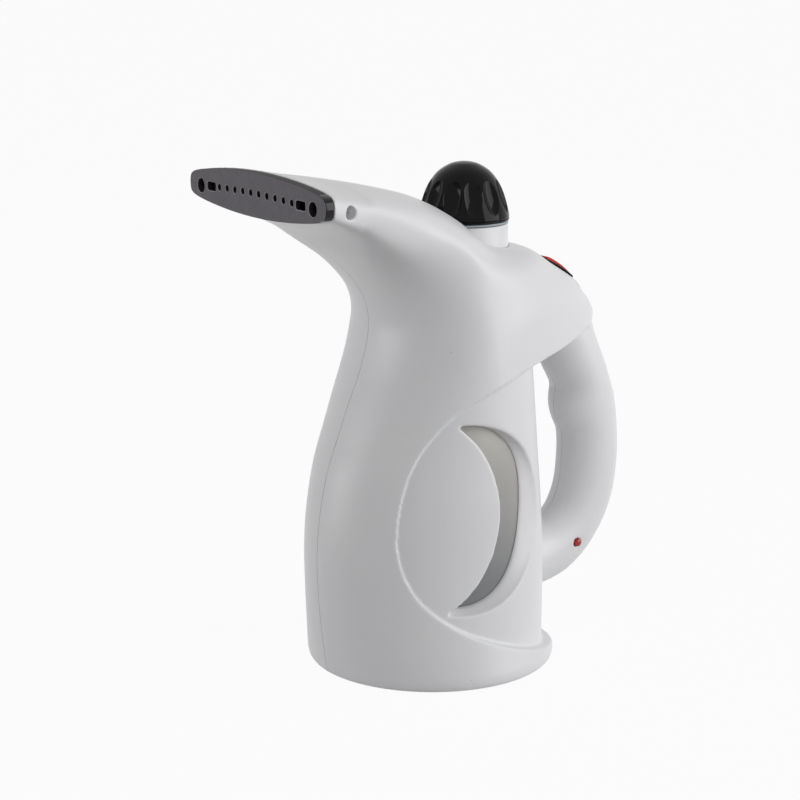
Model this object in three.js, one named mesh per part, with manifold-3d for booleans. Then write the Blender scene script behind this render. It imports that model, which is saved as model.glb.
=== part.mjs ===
// Handheld garment steamer: two clamshell halves round a water tank, with a heating plate
// under the tank, a steam hose to a wide nozzle plate, a screw cap, a rocker switch and a lamp.
// Millimetres. +Z is up, the nozzle points to -X, the handle is at +X, and the origin is the
// middle of the footprint on the surface that the steamer stands on.
import * as THREE from 'three';
import { mergeVertices } from 'three/addons/utils/BufferGeometryUtils.js';
import Module from 'manifold-3d';

const wasm = await Module();
wasm.setup();

// ---------------------------------------------------------------- driving dimensions

const fit = 0.3;               // gap between two pieces that touch
const wall = 2.2;              // moulded shell wall
const beyond = 400;            // further out than any piece reaches
const step = 1;                // how far the front cloak stands proud of the barrel

const baseRadius = 56;
const shellBottom = 0.6;       // lower rim of the shells above the surface
const lipHeight = 4;           // height of the cloak's rim behind the barrel
const barrelRadius = 50.6;     // back of the barrel
const bellyReach = 60.9;       // furthest point of the belly in front of the middle
const bellyHalf = 49.8;        // half width of the cloak at the belly
const tailReach = 89;          // tip of the hood over the handle
const tailHeight = 147;
const headHalf = 45.6;         // half width of the hood
const throatReach = 33.4;      // narrowest point of the front, under the spout
const nozzleReach = 85.4;      // end of the spout in front of the middle
const nozzleHeight = 217.5;    // middle of the spout's end
const nozzleRise = 19.4;       // height of the spout's end
const nozzleHalf = 55.9;       // half width of the spout's end

const handleBack = 90;         // middle line of the grip at its furthest point
const gripHalfDepth = 15.6;    // half depth of the grip, front to back
const gripHalfWidth = 13.3;    // half width of the grip

const neckX = 17.2;            // middle of the filler neck
const neckRadius = 19.7;
const neckTop = 197.6;
const neckFlange = 176;        // underside of the neck where it seats on the tank
const boreRadius = 15.4;       // bore of the neck at the thread's root
const threadPitch = 4;
const threadTurns = 1.3;
const threadDepth = 1.3;
const threadWidth = 1.4;
const threadGap = 0.4;         // radial clearance of the screw thread
const threadDrop = 11.1;       // start of the thread below the neck's rim

const washerThick = 1;
const capRadius = 20.3;
const capHeight = 25.6;
const fluteCount = 12;

const plateThick = 4;
const plateFace = 2.2;         // thickness of the plate at its holes
const plateSpigot = 4;         // how far the plate's rim reaches into the spout
const jetCount = 10;
const jetPitch = 6.6;
const jetRadius = 1.25;
const slotGap = 6.8;           // from the last jet to the middle of the clip slot beside it
const slotLength = 7.5;
const slotHeight = 3.8;
const portGap = 9.3;           // from the middle of a clip slot to the end port beside it
const portRadius = 2.8;
const rowBow = 1.4;            // rise of the middle of the row of holes over its ends
const clipHoleBack = 9.6;      // round clip hole in the spout's side, behind its end
const clipHoleRadius = 2.8;
const clipHoleDepth = 5;

const tankRadius = 43.4;
const tankWall = 2;
const tankX = 3;
const tankBottom = 30;
const tankMouth = 26;          // radius of the opening over the heating plate

const hotPlateRadius = 31;
const hotPlateThick = 6;
const gasketThick = 2;
const elementRadius = 20;      // middle line of the heating element's ring
const elementThick = 2.6;      // radius of the element's tube

const coverRadius = 48;        // the base cover's underside is what the steamer stands on
const coverThick = 3.5;
const screwRadius = 1.4;
const screwHead = 2.6;
const headThick = 1.8;
const headSink = 0.3;          // how far a screw's head lies below the face round it
const bossRadius = 4;
const bossRoot = 0.6;          // how far a boss runs into the wall beside it
const blockHeight = 6.2;       // terminal block
const blockPad = 2;            // pad that carries it on the cover

const switchLength = 21;
const switchWidth = 15;
const switchDepth = 15;
const bezelSeat = 0.9;         // ledge under the switch's frame, out from the slope's line
const bezelEdge = 2.6;         // top of the frame at its ends
const bezelCrown = 3.3;        // and in the middle
const bezelRim = 1.1;          // width of the frame round the rocker
const rockerRise = 1.7;        // how far the rocker's crown stands over the frame's
const rockerTilt = 3.5;        // degrees each way from level
const bladeAt = 5.5;           // each terminal blade from the switch's middle
const bladeReach = 6;          // how far the blades stand out of the switch's body
const lampRadius = 1.8;

const hoseRadius = 5.6;
const hoseBore = 4;
const wireRadius = 0.9;

// ---------------------------------------------------------------- solids

function toSolid(geometry) {
  const plain = geometry.clone();
  plain.deleteAttribute('normal');
  plain.deleteAttribute('uv');
  const merged = mergeVertices(plain, 1e-4);
  return new wasm.Manifold(new wasm.Mesh({
    numProp: 3,
    vertProperties: new Float32Array(merged.attributes.position.array),
    triVerts: new Uint32Array(merged.index.array),
  }));
}

function toGeometry(solid) {
  const mesh = solid.getMesh();
  const geometry = new THREE.BufferGeometry();
  geometry.setAttribute('position', new THREE.BufferAttribute(mesh.vertProperties, 3));
  geometry.setIndex(new THREE.BufferAttribute(mesh.triVerts, 1));
  const flat = geometry.toNonIndexed();
  flat.computeVertexNormals();
  return flat;
}

const join = (...solids) => solids.reduce((a, b) => a.add(b));
const cut = (solid, ...tools) => tools.reduce((a, b) => a.subtract(b), solid);

function block(lo, hi) {
  const size = hi.map((v, i) => v - lo[i]);
  const geometry = new THREE.BoxGeometry(...size);
  geometry.translate(...lo.map((v, i) => v + size[i] / 2));
  return toSolid(geometry);
}

// A round bar, or a cone frustum, from one point to another.
function rod(from, to, radius, sides = 20, endRadius = radius) {
  const a = new THREE.Vector3(...from);
  const along = new THREE.Vector3(...to).sub(a);
  const geometry = new THREE.CylinderGeometry(endRadius, radius, along.length(), sides);
  geometry.translate(0, along.length() / 2, 0);
  const up = new THREE.Vector3(0, 1, 0);
  geometry.applyQuaternion(new THREE.Quaternion().setFromUnitVectors(up, along.normalize()));
  geometry.translate(a.x, a.y, a.z);
  return toSolid(geometry);
}

// A turned piece about a vertical line; the profile is a list of [radius, height].
function turned(profile, x = 0, y = 0, sides = 40) {
  const points = profile.map(([r, z]) => new THREE.Vector2(r, z));
  const geometry = new THREE.LatheGeometry(points, sides);
  geometry.rotateX(Math.PI / 2);
  geometry.translate(x, y, 0);
  return toSolid(geometry);
}

// A ring of rectangular section, or a washer, about a vertical line.
function collar(inner, outer, z0, z1, x = 0, y = 0, sides = 40) {
  return cut(rod([x, y, z0], [x, y, z1], outer, sides),
    rod([x, y, z0 - 1], [x, y, z1 + 1], inner, sides));
}

// A side-view outline, a list of [x, z], drawn out along Y.
function sideways(outline, y0, y1) {
  const shape = new THREE.Shape(outline.map(([x, z]) => new THREE.Vector2(x, z)));
  const geometry = new THREE.ExtrudeGeometry(shape, { depth: y1 - y0, bevelEnabled: false });
  geometry.rotateX(Math.PI / 2);
  geometry.translate(0, y1, 0);
  return toSolid(geometry);
}

function curve(points) {
  return new THREE.CatmullRomCurve3(points.map((p) => new THREE.Vector3(...p)));
}

function tube(points, radius, sides = 8, steps = 24) {
  const shape = new THREE.Shape();
  shape.absarc(0, 0, radius, 0, Math.PI * 2);
  return toSolid(new THREE.ExtrudeGeometry(shape,
    { steps, curveSegments: sides / 2, extrudePath: curve(points), bevelEnabled: false }));
}

// A skin through a list of closed rings of points, closed at both ends.
function loft(rings) {
  const count = rings[0].length;
  const middle = (ring) => ring.reduce((s, p) => s.add(p), new THREE.Vector3())
    .divideScalar(count);
  const points = [...rings.flat(), middle(rings[0]), middle(rings.at(-1))];
  const index = [];
  for (let i = 0; i + 1 < rings.length; i++) {
    for (let j = 0; j < count; j++) {
      const k = (j + 1) % count;
      const a = i * count;
      const b = a + count;
      index.push(a + j, a + k, b + k, a + j, b + k, b + j);
    }
  }
  const top = (rings.length - 1) * count;
  for (let j = 0; j < count; j++) {
    const k = (j + 1) % count;
    index.push(points.length - 2, k, j, points.length - 1, top + j, top + k);
  }
  const geometry = new THREE.BufferGeometry().setFromPoints(points);
  geometry.setIndex(index);
  return toSolid(geometry);
}

function circle(x, y, z, radius, sides) {
  return Array.from({ length: sides }, (_, i) => {
    const turn = i / sides * Math.PI * 2;
    return new THREE.Vector3(x + radius * Math.cos(turn), y + radius * Math.sin(turn), z);
  });
}

// ---------------------------------------------------------------- outer form

// Each station is one ring of the skin. It crosses the middle plane at a front and a back
// point, [x, z], and bulges to `half` on each side, widest at x = `wide`. `tail` and `blunt`
// shape its back, `under` its front, and `flat` turns it into the nozzle's outline.
const round = { tail: 2, blunt: 0.5, under: 2, flat: 0 };

function lowStation(front, back, z, half, wide, shape = {}) {
  return { ...round, front: [-front, z], back: [back, z], half, wide, ...shape };
}

const nozzleLow = nozzleHeight - nozzleRise / 2;
const nozzleTop = nozzleHeight + nozzleRise / 2;

const cloakStations = [
  lowStation(baseRadius - 1.4, baseRadius - 1.4, shellBottom, baseRadius - 1.4, 0),
  lowStation(baseRadius - 0.2, baseRadius - 0.2, 2.2, baseRadius - 0.2, 0),
  lowStation(baseRadius + 0.5, baseRadius, 5, baseRadius, 0),
  lowStation(baseRadius + 1.4, baseRadius - 0.8, 11, baseRadius - 1.4, 0.5),
  lowStation(bellyReach - 2, barrelRadius + 2.8, 22, bellyHalf + 2.4, 2),
  lowStation(bellyReach - 0.7, barrelRadius + 2, 36, bellyHalf + 0.8, 4),
  { ...round, front: [-bellyReach, 52], back: [barrelRadius + 3, 56], half: bellyHalf, wide: 5 },
  { ...round, front: [0.6 - bellyReach, 66], back: [57, 74], half: bellyHalf - 0.4, wide: 5,
    tail: 1.9, blunt: 0.52 },
  { ...round, front: [2.6 - bellyReach, 80], back: [63, 92], half: bellyHalf - 0.8, wide: 5,
    tail: 1.8, blunt: 0.54 },
  { ...round, front: [5.8 - bellyReach, 94], back: [70, 110], half: headHalf + 2.4, wide: 5,
    tail: 1.65, blunt: 0.57 },
  { ...round, front: [-50.2, 107], back: [78, 126], half: headHalf + 1.6, wide: 5,
    tail: 1.5, blunt: 0.6 },
  { ...round, front: [-45.4, 119.5], back: [tailReach - 3.5, 140], half: headHalf + 0.8,
    wide: 5, tail: 1.35, blunt: 0.62 },
  { ...round, front: [-41.4, 129], back: [tailReach, tailHeight], half: headHalf + 0.2,
    wide: 4, tail: 1.3, blunt: 0.64 },
  { ...round, front: [-38.8, 135], back: [tailReach + 0.8, tailHeight + 5], half: headHalf,
    wide: 4, tail: 1.3, blunt: 0.64 },
  { ...round, front: [-36.4, 142], back: [tailReach - 4.4, 159.6], half: headHalf - 0.6,
    wide: 4, tail: 1.4, blunt: 0.62 },
  { ...round, front: [-34.4, 150], back: [tailReach - 14, 168.4], half: headHalf - 1.6,
    wide: 4, tail: 1.6, blunt: 0.58 },
  { ...round, front: [-throatReach, 158], back: [61, 177.2], half: headHalf - 3.2, wide: 3,
    tail: 1.8, blunt: 0.54 },
  { ...round, front: [-throatReach - 1.2, 165.4], back: [46, 185.4], half: headHalf - 4.4,
    wide: 0 },
  { ...round, front: [-throatReach - 4.4, 172.6], back: [27, 191.4], half: headHalf - 4.8,
    wide: -4, blunt: 0.48, under: 2.1 },
  { ...round, front: [-throatReach - 9.8, 179.6], back: [6, 202.4], half: headHalf - 4.6,
    wide: -15, tail: 2.1, blunt: 0.47, under: 2.2, flat: 0.1 },
  { ...round, front: [-throatReach - 16.2, 186], back: [-15, 212.2], half: headHalf - 3.8,
    wide: -31, tail: 2.2, blunt: 0.46, under: 2.3, flat: 0.3 },
  { ...round, front: [-throatReach - 26, 193.2], back: [-36, 218], half: headHalf - 0.8,
    wide: -47, tail: 2.3, blunt: 0.46, under: 2.4, flat: 0.55 },
  { ...round, front: [17 - nozzleReach, 199.8], back: [28 - nozzleReach, 222.2],
    half: nozzleHalf - 7, wide: 23 - nozzleReach, tail: 2.4, blunt: 0.46, flat: 0.8 },
  { ...round, front: [8 - nozzleReach, 204.4], back: [11 - nozzleReach, 225],
    half: nozzleHalf - 2.8, wide: 9.5 - nozzleReach, tail: 2.4, blunt: 0.45, flat: 0.95 },
  { ...round, front: [-nozzleReach, nozzleLow], back: [-nozzleReach, nozzleTop],
    half: nozzleHalf, wide: -nozzleReach, flat: 1 },
];

// Half width of the nozzle's outline, as a share, at a share s of its half height: two
// shallow arcs that meet blunt, rounded ends.
const lensReach = 1.36;
function lensShare(s) {
  const arc = Math.max(lensReach * Math.sqrt(Math.max(0, 1 - s)), 1e-3);
  return (arc ** -8 + 1) ** (-1 / 8);
}

const ringSteps = 10;

function stationRing(station, inset = 0, steps = ringSteps) {
  const { front, back, half, wide, tail, blunt, under, flat } = station;
  const chord = Math.hypot(back[0] - front[0], back[1] - front[1]);
  const ux = (back[0] - front[0]) / chord;
  const uz = (back[1] - front[1]) / chord;
  const length = chord - 2 * inset;
  const share = ux > 0.4 ? (wide - front[0]) / (ux * chord) : 0.5;
  const middle = THREE.MathUtils.clamp(share * chord - inset, length * 0.2, length * 0.8);
  return Array.from({ length: 2 * steps }, (_, i) => {
    const turn = i / steps * Math.PI;
    const s = Math.abs(Math.cos(turn));
    const inFront = Math.cos(turn) > 0;
    const oval = inFront ? (1 - s ** under) ** (1 / under) : (1 - s ** tail) ** blunt;
    const share = s > 0.9999 ? 0 : (1 - flat) * oval + flat * lensShare(s);
    const along = inset + (inFront ? middle * (1 - s) : middle + s * (length - middle));
    const y = (half - inset) * share * (i <= steps ? -1 : 1);
    return new THREE.Vector3(front[0] + ux * along, y, front[1] + uz * along);
  });
}

const skin = (stations, inset = 0, steps = ringSteps) =>
  loft(stations.map((s) => stationRing(s, inset, steps)));

// The barrel is the cloak's form set in by the step, with a plain round back.
const barrelStations = [
  [baseRadius - 1.5, shellBottom + 0.6, baseRadius - 5.2, 0],
  [bellyReach - 2 - step, 22, bellyHalf + 0.6, 2],
  [bellyReach - 0.7 - step, 36, bellyHalf - 0.2, 4],
  [bellyReach - step, 52, bellyHalf - step, 5],
  [bellyReach - 0.6 - step, 66, bellyHalf - 0.4 - step, 5],
  [bellyReach - 2.6 - step, 80, bellyHalf - 0.8 - step, 5],
  [bellyReach - 5.8 - step, 94, headHalf + 2.4 - step, 5],
  [50.8 - step, 107, headHalf + 1.6 - step, 5],
  [45.4 - step, 119.5, headHalf + 0.8 - step, 5],
  [41.4 - step, 129, headHalf + 0.2 - step, 5],
  [37.4 - step, 139.6, headHalf - 0.4 - step, 5],
].map(([front, z, half, wide], i) =>
  lowStation(front, barrelRadius - 0.018 * Math.max(0, z - 30), z, half, wide));

// The barrel's hollow runs on up into the hood.
const barrelInside = lowStation(34, barrelRadius - 2, 147, headHalf - 6, 5);

// Side-view line that the cloak's back edge follows: hood, front arc, then the rear lip.
const cloakEdge = curve([
  [tailReach + 20, 0, tailHeight + 4], [tailReach, 0, tailHeight], [70, 0, 143.2],
  [52, 0, 139.6], [30, 0, 136.6], [10, 0, 133.4], [-5.4, 0, 128], [-17.5, 0, 121],
  [-30.9, 0, 105.8], [-38.6, 0, 88], [-41.8, 0, 66], [-38.4, 0, 49.4], [-31, 0, 37.6],
  [-16.5, 0, 26.2], [4, 0, 17.2], [24, 0, lipHeight + 7], [42, 0, lipHeight + 3],
  [baseRadius + 2, 0, lipHeight + 0.2], [tailReach + 20, 0, lipHeight],
]);

function edgePrism(lift = 0) {
  const line = cloakEdge.getPoints(28).map((p) => [p.x, p.z + lift]);
  return sideways(line, -baseRadius - 10, baseRadius + 10);
}

// ---------------------------------------------------------------- grip

// Middle line of the grip [x, z] with its half depth and half width.
const gripStations = [
  [44, 36.6, -1, 0.4],
  [57, 36.8, -0.8, 0.2],
  [69.4, 40.6, -0.6, 0],
  [handleBack - 9.4, 50.4, -0.9, -0.2],
  [handleBack - 3, 64, 0, -0.2],
  [handleBack - 0.8, 80, 0.2, 0],
  [handleBack - 1.6, 96, 0.4, 0.2],
  [handleBack - 4.4, 109, 1.2, 0.6],
  [handleBack - 8.2, 121, 0.4, 0.6],
  [handleBack - 13, 133, -0.6, 0.6],
  [handleBack - 18, 146, -1, 0],
  [handleBack - 22, 152, -3, -2],
].map(([x, z, depth, width]) =>
  ({ x, z, depth: gripHalfDepth + depth, width: gripHalfWidth + width }));

function gripSkin(inset, first = 0, last = gripStations.length - 1, steps = 8) {
  const rings = [];
  for (let i = first; i <= last; i++) {
    const here = gripStations[i];
    const before = gripStations[Math.max(0, i - 1)];
    const after = gripStations[Math.min(gripStations.length - 1, i + 1)];
    const run = Math.hypot(after.x - before.x, after.z - before.z);
    const nx = (after.z - before.z) / run;
    const nz = (before.x - after.x) / run;
    rings.push(Array.from({ length: 2 * steps }, (_, j) => {
      const turn = j / steps * Math.PI;
      const out = (here.depth - inset) * Math.cos(turn);
      return new THREE.Vector3(here.x + nx * out, (here.width - inset) * Math.sin(turn),
        here.z + nz * out);
    }));
  }
  return loft(rings);
}

// ---------------------------------------------------------------- crescent window

const crescent = {
  outer: { x: -12.5, z: 75, radius: 42 },
  inner: { x: -41, z: 76, radius: 44.7 },
  depth: 6,                    // from the barrel's side to the tank
  slope: 8,                    // how far the outer wall leans in over that depth
};

// The outline between the two arcs; `grow` moves both arcs apart.
function crescentOutline(grow, lean = 0, steps = 8) {
  const { outer, inner } = crescent;
  const big = outer.radius + grow - lean;
  const small = inner.radius - grow;
  const bigX = outer.x + lean * 0.1;
  const gap = Math.hypot(bigX - inner.x, outer.z - inner.z);
  const tilt = Math.atan2(outer.z - inner.z, bigX - inner.x);
  const offset = (gap * gap + small * small - big * big) / (2 * gap);
  const inHalf = Math.acos(offset / small);
  const outHalf = Math.acos((offset - gap) / big);
  const points = [];
  for (let i = 0; i <= steps; i++) {
    const turn = tilt - outHalf + 2 * outHalf * i / steps;
    points.push([bigX + big * Math.cos(turn), outer.z + big * Math.sin(turn)]);
  }
  for (let i = 1; i < steps; i++) {
    const turn = tilt + inHalf - 2 * inHalf * i / steps;
    points.push([inner.x + small * Math.cos(turn), inner.z + small * Math.sin(turn)]);
  }
  return points;
}

// Hollow of the window on one side, narrowing from the barrel's side to the tank.
function windowHollow(side) {
  const mouth = bellyHalf + 6;
  const floor = tankRadius - 12;
  const full = bellyHalf - 1;
  const deep = full - crescent.depth;
  const layers = [[floor, crescent.slope], [deep, crescent.slope], [full, 0], [mouth, 0]];
  const rings = layers.map(([y, lean]) => crescentOutline(0, lean)
    .map(([x, z]) => new THREE.Vector3(x, side * y, z)));
  return loft(side < 0 ? rings : rings.reverse());
}

function windowRim(side) {
  const from = tankRadius - 14;
  const to = bellyHalf - 4;
  const outline = crescentOutline(wall * 0.7);
  const rim = sideways(outline, Math.min(side * from, side * to), Math.max(side * from, side * to));
  return cut(rim, rod([tankX, 0, 0], [tankX, 0, 150], tankRadius + fit, 40));
}

// ---------------------------------------------------------------- shells

const coverSeat = coverThick + fit;
const pocketDepth = headThick + headSink + fit;
const lampAt = { x: handleBack - 15, z: 42.6 };
const clipHole = { x: clipHoleBack - nozzleReach, z: nozzleHeight - 2.4 };

// Shell screws enter from the right side.
const shellScrews = [
  { x: handleBack - 2, z: 72, half: gripHalfWidth },
  { x: handleBack - 5.5, z: 114, half: gripHalfWidth + 0.6 },
  { x: 64, z: 33.5, half: gripHalfWidth },
];
const fixingTurns = [40, 140, 220, 320];
const fixingSpread = coverRadius + fit + bossRoot - bossRadius;
const fixingPlace = (turn) => [
  fixingSpread * Math.cos(THREE.MathUtils.degToRad(turn)),
  fixingSpread * Math.sin(THREE.MathUtils.degToRad(turn)),
];

// The slope that carries the switch: its middle, and unit vectors along it and out of it.
const switchSeat = { from: [55.4, 177.1], to: [73.5, 166.2] };
const slopeTurn = Math.atan2(switchSeat.to[1] - switchSeat.from[1],
  switchSeat.to[0] - switchSeat.from[0]);
const switchMiddle = [0, 1].map((i) => (switchSeat.from[i] + switchSeat.to[i]) / 2);

// Moves a solid built round the origin, with +Z out of the panel and +X down the slope.
function onSlope(solid) {
  const turn = THREE.MathUtils.radToDeg(-slopeTurn);
  return solid.rotate([0, turn, 0]).translate([switchMiddle[0], 0, switchMiddle[1]]);
}

function slab(length, width, z0, z1, corner = 1.5) {
  const shape = new THREE.Shape();
  const a = length / 2;
  const b = width / 2;
  shape.moveTo(-a + corner, -b);
  shape.lineTo(a - corner, -b);
  shape.absarc(a - corner, -b + corner, corner, -Math.PI / 2, 0);
  shape.absarc(a - corner, b - corner, corner, 0, Math.PI / 2);
  shape.absarc(-a + corner, b - corner, corner, Math.PI / 2, Math.PI);
  shape.absarc(-a + corner, -b + corner, corner, Math.PI, Math.PI * 1.5);
  const geometry = new THREE.ExtrudeGeometry(shape,
    { depth: z1 - z0, bevelEnabled: false, curveSegments: 3 });
  geometry.translate(0, 0, z0);
  return toSolid(geometry);
}

// Raised collar round the switch, which runs out down the slope.
function switchCollar() {
  const end = switchLength / 2;
  const line = [[-end - 1.5, -7], [end + 8, -7], [end + 7.1, -1.9], [end + 5.1, 0.2],
    [end + 2.7, 1.1], [end + 0.5, bezelEdge - 0.5], [end / 2, bezelCrown - 0.7],
    [0, bezelCrown - 0.6], [-end / 2, bezelCrown - 0.7], [-end - 1.5, bezelEdge - 0.6]];
  const wide = switchWidth + 2 * 1.8;
  const plan = slab(switchLength + 9.5, wide, -7, 5, 6).translate([3.25, 0, 0]);
  return onSlope(plan.intersect(sideways(line, -wide, wide)));
}

function outerForm() {
  const cloak = cut(skin(cloakStations), edgePrism());
  const grip = cut(gripSkin(0), block([0, -20, 0], [barrelRadius - 6, 20, 80]));
  return join(skin(barrelStations), cloak, grip, switchCollar());
}

function innerForm() {
  const upper = cloakStations.slice(11);
  const end = { ...cloakStations.at(-1) };
  end.front = [-nozzleReach - 5, end.front[1]];
  end.back = [-nozzleReach - 5, end.back[1]];
  const head = cut(skin([...upper, end], wall, 8), edgePrism(wall),
    block([-70, -60, 90], [tailReach, 60, 124]),
    block([tailReach - 9, -60, 90], [tailReach + 9, 60, 175]));
  const barrel = cut(skin([...barrelStations.slice(1), barrelInside], wall),
    block([-70, -70, 0], [70, 70, coverSeat + 12]));
  const foot = rod([0, 0, -2], [0, 0, 24], coverRadius + fit, 36);
  return join(head, barrel, foot, gripSkin(wall));
}

const hull = outerForm();
const hollow = innerForm();

function shell(side) {
  const left = side < 0;
  const split = fit / 2;
  const halfSpace = left ? block([-beyond, -beyond, -beyond], [beyond, -split, beyond])
    : block([-beyond, split, -beyond], [beyond, beyond, beyond]);
  const within = (solid) => solid.intersect(hull);
  let body = cut(hull, hollow);
  const edge = (half) => side * half;
  for (const { x, z, half } of shellScrews) {
    body = join(body, within(rod([x, 0, z], [x, edge(half + 4), z], bossRadius, 16)));
  }
  for (const turn of fixingTurns) {
    const [x, y] = fixingPlace(turn);
    body = join(body, rod([x, y, coverSeat], [x, y, 20], bossRadius, 16));
  }
  body = join(body, within(windowRim(side)),
    within(onSlope(slab(switchLength + 4, switchWidth + 4, bezelSeat - 3, bezelSeat))));
  body = join(body, within(rod([clipHole.x, side * 60, clipHole.z],
    [clipHole.x, side * (nozzleHalf - 13), clipHole.z], clipHoleRadius + 1.6, 16)));
  body = cut(body.intersect(halfSpace),
    rod([neckX, 0, 160], [neckX, 0, 230], neckRadius + fit, 32),
    rod([neckX, 0, neckTop - 1.5], [neckX, 0, 230], capRadius + 2 * fit, 32),
    windowHollow(side),
    rod([clipHole.x, side * 70, clipHole.z],
      [clipHole.x, side * (nozzleHalf - 5 - clipHoleDepth), clipHole.z], clipHoleRadius, 16),
    onSlope(slab(switchLength + 2 * fit, switchWidth + 2 * fit, bezelSeat, 12, 2)),
    onSlope(slab(switchLength - 1.6, switchWidth - 1.6, -switchDepth - 5, 10)));
  for (const { x, z, half } of shellScrews) {
    if (left) {
      body = cut(body, rod([x, 1, z], [x, -half * 0.6, z], screwRadius + fit, 12));
    } else {
      body = cut(body, rod([x, -1, z], [x, 60, z], screwRadius + fit, 12),
        rod([x, half * 0.6, z], [x, 60, z], screwHead + fit, 16));
    }
  }
  for (const turn of fixingTurns) {
    const [x, y] = fixingPlace(turn);
    body = cut(body, rod([x, y, 0], [x, y, 16], screwRadius + fit, 10));
  }
  if (left) {
    body = cut(body, rod([lampAt.x, -30, lampAt.z], [lampAt.x, -5, lampAt.z],
      lampRadius + fit, 16));
  } else {
    body = cut(body, cordBore());
  }
  return body;
}

// ---------------------------------------------------------------- base, cord inlet

const inletTurn = THREE.MathUtils.degToRad(52);
const inletRadius = 5.5;
const inletHeight = 24;
const inletDirection = [Math.cos(inletTurn), Math.sin(inletTurn)];
const inletPoint = (r) => [inletDirection[0] * r, inletDirection[1] * r, inletHeight];

function cordBore() {
  return rod(inletPoint(40), inletPoint(70), inletRadius + fit, 20);
}

// Rubber bush with a flange outside and one inside the wall, bored for the mains lead.
function cordInlet() {
  const wallAt = barrelRadius - 0.4;
  return cut(join(rod(inletPoint(wallAt - wall - 4), inletPoint(wallAt + 2.4), inletRadius, 20),
    rod(inletPoint(wallAt + 1.3), inletPoint(wallAt + 3), inletRadius + 1.5, 20)),
  rod(inletPoint(30), inletPoint(70), 3.4, 16));
}

function baseCover() {
  let cover = join(rod([0, 0, 0], [0, 0, coverThick], coverRadius, 36),
    block([-14, -9, coverThick - 1], [14, 9, blockSeat]));
  for (const turn of fixingTurns) {
    const [x, y] = fixingPlace(turn);
    cover = cut(cover, rod([x, y, -1], [x, y, 20], screwRadius + fit, 10),
      rod([x, y, -1], [x, y, pocketDepth], screwHead + fit, 12));
  }
  return cover;
}

const blockSeat = coverThick + blockPad;

// A pan-head screw: the head's flat top at `from`, its tip at `to`.
function screw(from, to) {
  const a = new THREE.Vector3(...from);
  const b = new THREE.Vector3(...to);
  const along = (distance) => a.clone().lerp(b, distance / a.distanceTo(b)).toArray();
  return cut(join(rod(from, along(headThick), screwHead, 10),
    rod(along(headThick / 2), to, screwRadius, 6)),
  rod(along(-0.5), along(headThick / 2), 1, 4));
}

// ---------------------------------------------------------------- water tank and heater

const shoulder = [
  [tankBottom + 78, tankRadius, tankX],
  [120, tankRadius - 3, tankX + 1.8],
  [132, tankRadius - 7.5, tankX + 4.4],
  [144, tankRadius - 14, tankX + 7.6],
  [154, tankRadius - 20.4, tankX + 11],
  [161, neckRadius - 2.6, neckX],
];
const tankTop = neckFlange - gasketThick - 2 * fit;
const steamPort = { from: [-6, 0, 142], to: [-21.5, 0, 161.5] };

function vessel(inset, from, to) {
  const rows = [[from, tankRadius, tankX], ...shoulder, [to, neckRadius - 2.6, neckX]];
  return loft(rows.map(([z, radius, x]) => circle(x, 0, z, radius - inset, 28)));
}

function waterTank() {
  const [sx, , sz] = steamPort.to;
  const [fx, , fz] = steamPort.from;
  const outside = join(vessel(0, tankBottom, tankTop),
    rod([fx, 0, fz], [sx, 0, sz], hoseBore - fit, 16));
  return cut(outside, vessel(tankWall, tankBottom + tankWall, tankTop + 4),
    rod([tankX, 0, 20], [tankX, 0, tankBottom + 5], tankMouth, 28),
    rod([fx, 0, fz], [2 * sx - fx, 0, 2 * sz - fz], hoseBore - fit - 1.2, 12));
}

const plateTop = tankBottom - gasketThick - 2 * fit;
const plateBottom = plateTop - hotPlateThick;
const clampTurns = [60, 180, 300];
const clampPlace = (turn) => {
  const angle = THREE.MathUtils.degToRad(turn);
  const r = (tankMouth + hotPlateRadius) / 2 + 0.5;
  return [tankX + r * Math.cos(angle), r * Math.sin(angle)];
};

function hotPlate() {
  let plate = join(rod([tankX, 0, plateBottom], [tankX, 0, plateTop], hotPlateRadius, 32),
    rod([tankX, 0, plateTop - 1], [tankX, 0, tankBottom + 1], tankMouth - 3, 28));
  for (const turn of clampTurns) {
    const [x, y] = clampPlace(turn);
    plate = cut(plate, rod([x, y, 0], [x, y, 40], screwRadius + fit, 12));
  }
  return plate;
}

function tankGasket() {
  let ring = collar(tankMouth - 2, hotPlateRadius, plateTop + fit, tankBottom - fit, tankX, 0, 28);
  for (const turn of clampTurns) {
    const [x, y] = clampPlace(turn);
    ring = cut(ring, rod([x, y, 0], [x, y, 40], screwRadius + fit, 12));
  }
  return ring;
}

const elementZ = plateBottom - elementThick - fit;

function heatingElement() {
  const open = 34;
  const points = [];
  for (let turn = open; turn <= 360 - open; turn += (360 - 2 * open) / 16) {
    const angle = THREE.MathUtils.degToRad(turn);
    points.push([tankX + elementRadius * Math.cos(angle), elementRadius * Math.sin(angle),
      elementZ]);
  }
  const ring = tube(points, elementThick, 6, 18);
  const pins = [points[0], points.at(-1)].map(([x, y]) =>
    rod([x, y, elementZ], [x, y, elementZ - 7], 1.3, 10));
  return join(ring, ...pins);
}

function thermostat() {
  const x = tankX - 1;
  return join(rod([x, 0, plateBottom - fit], [x, 0, plateBottom - 4], 7, 24),
    block([x - 8.5, -1.6, plateBottom - 5.5], [x + 8.5, 1.6, plateBottom - 3.5]));
}

function thermalFuse() {
  const y = 12.2;
  const z = plateBottom - 1.6 - fit;
  return rod([tankX - 5, y, z], [tankX + 5, y, z], 1.6, 12);
}

function terminalBlock() {
  let body = block([-13, -8, blockSeat + fit], [13, 8, blockSeat + fit + blockHeight]);
  for (const x of [-8, 0, 8]) {
    body = cut(body, rod([x, 0, blockSeat + 2.5], [x, 0, 20], 1.8, 12));
  }
  return body;
}

// ---------------------------------------------------------------- filler neck and cap

const threadStart = neckTop - threadDrop;

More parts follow.
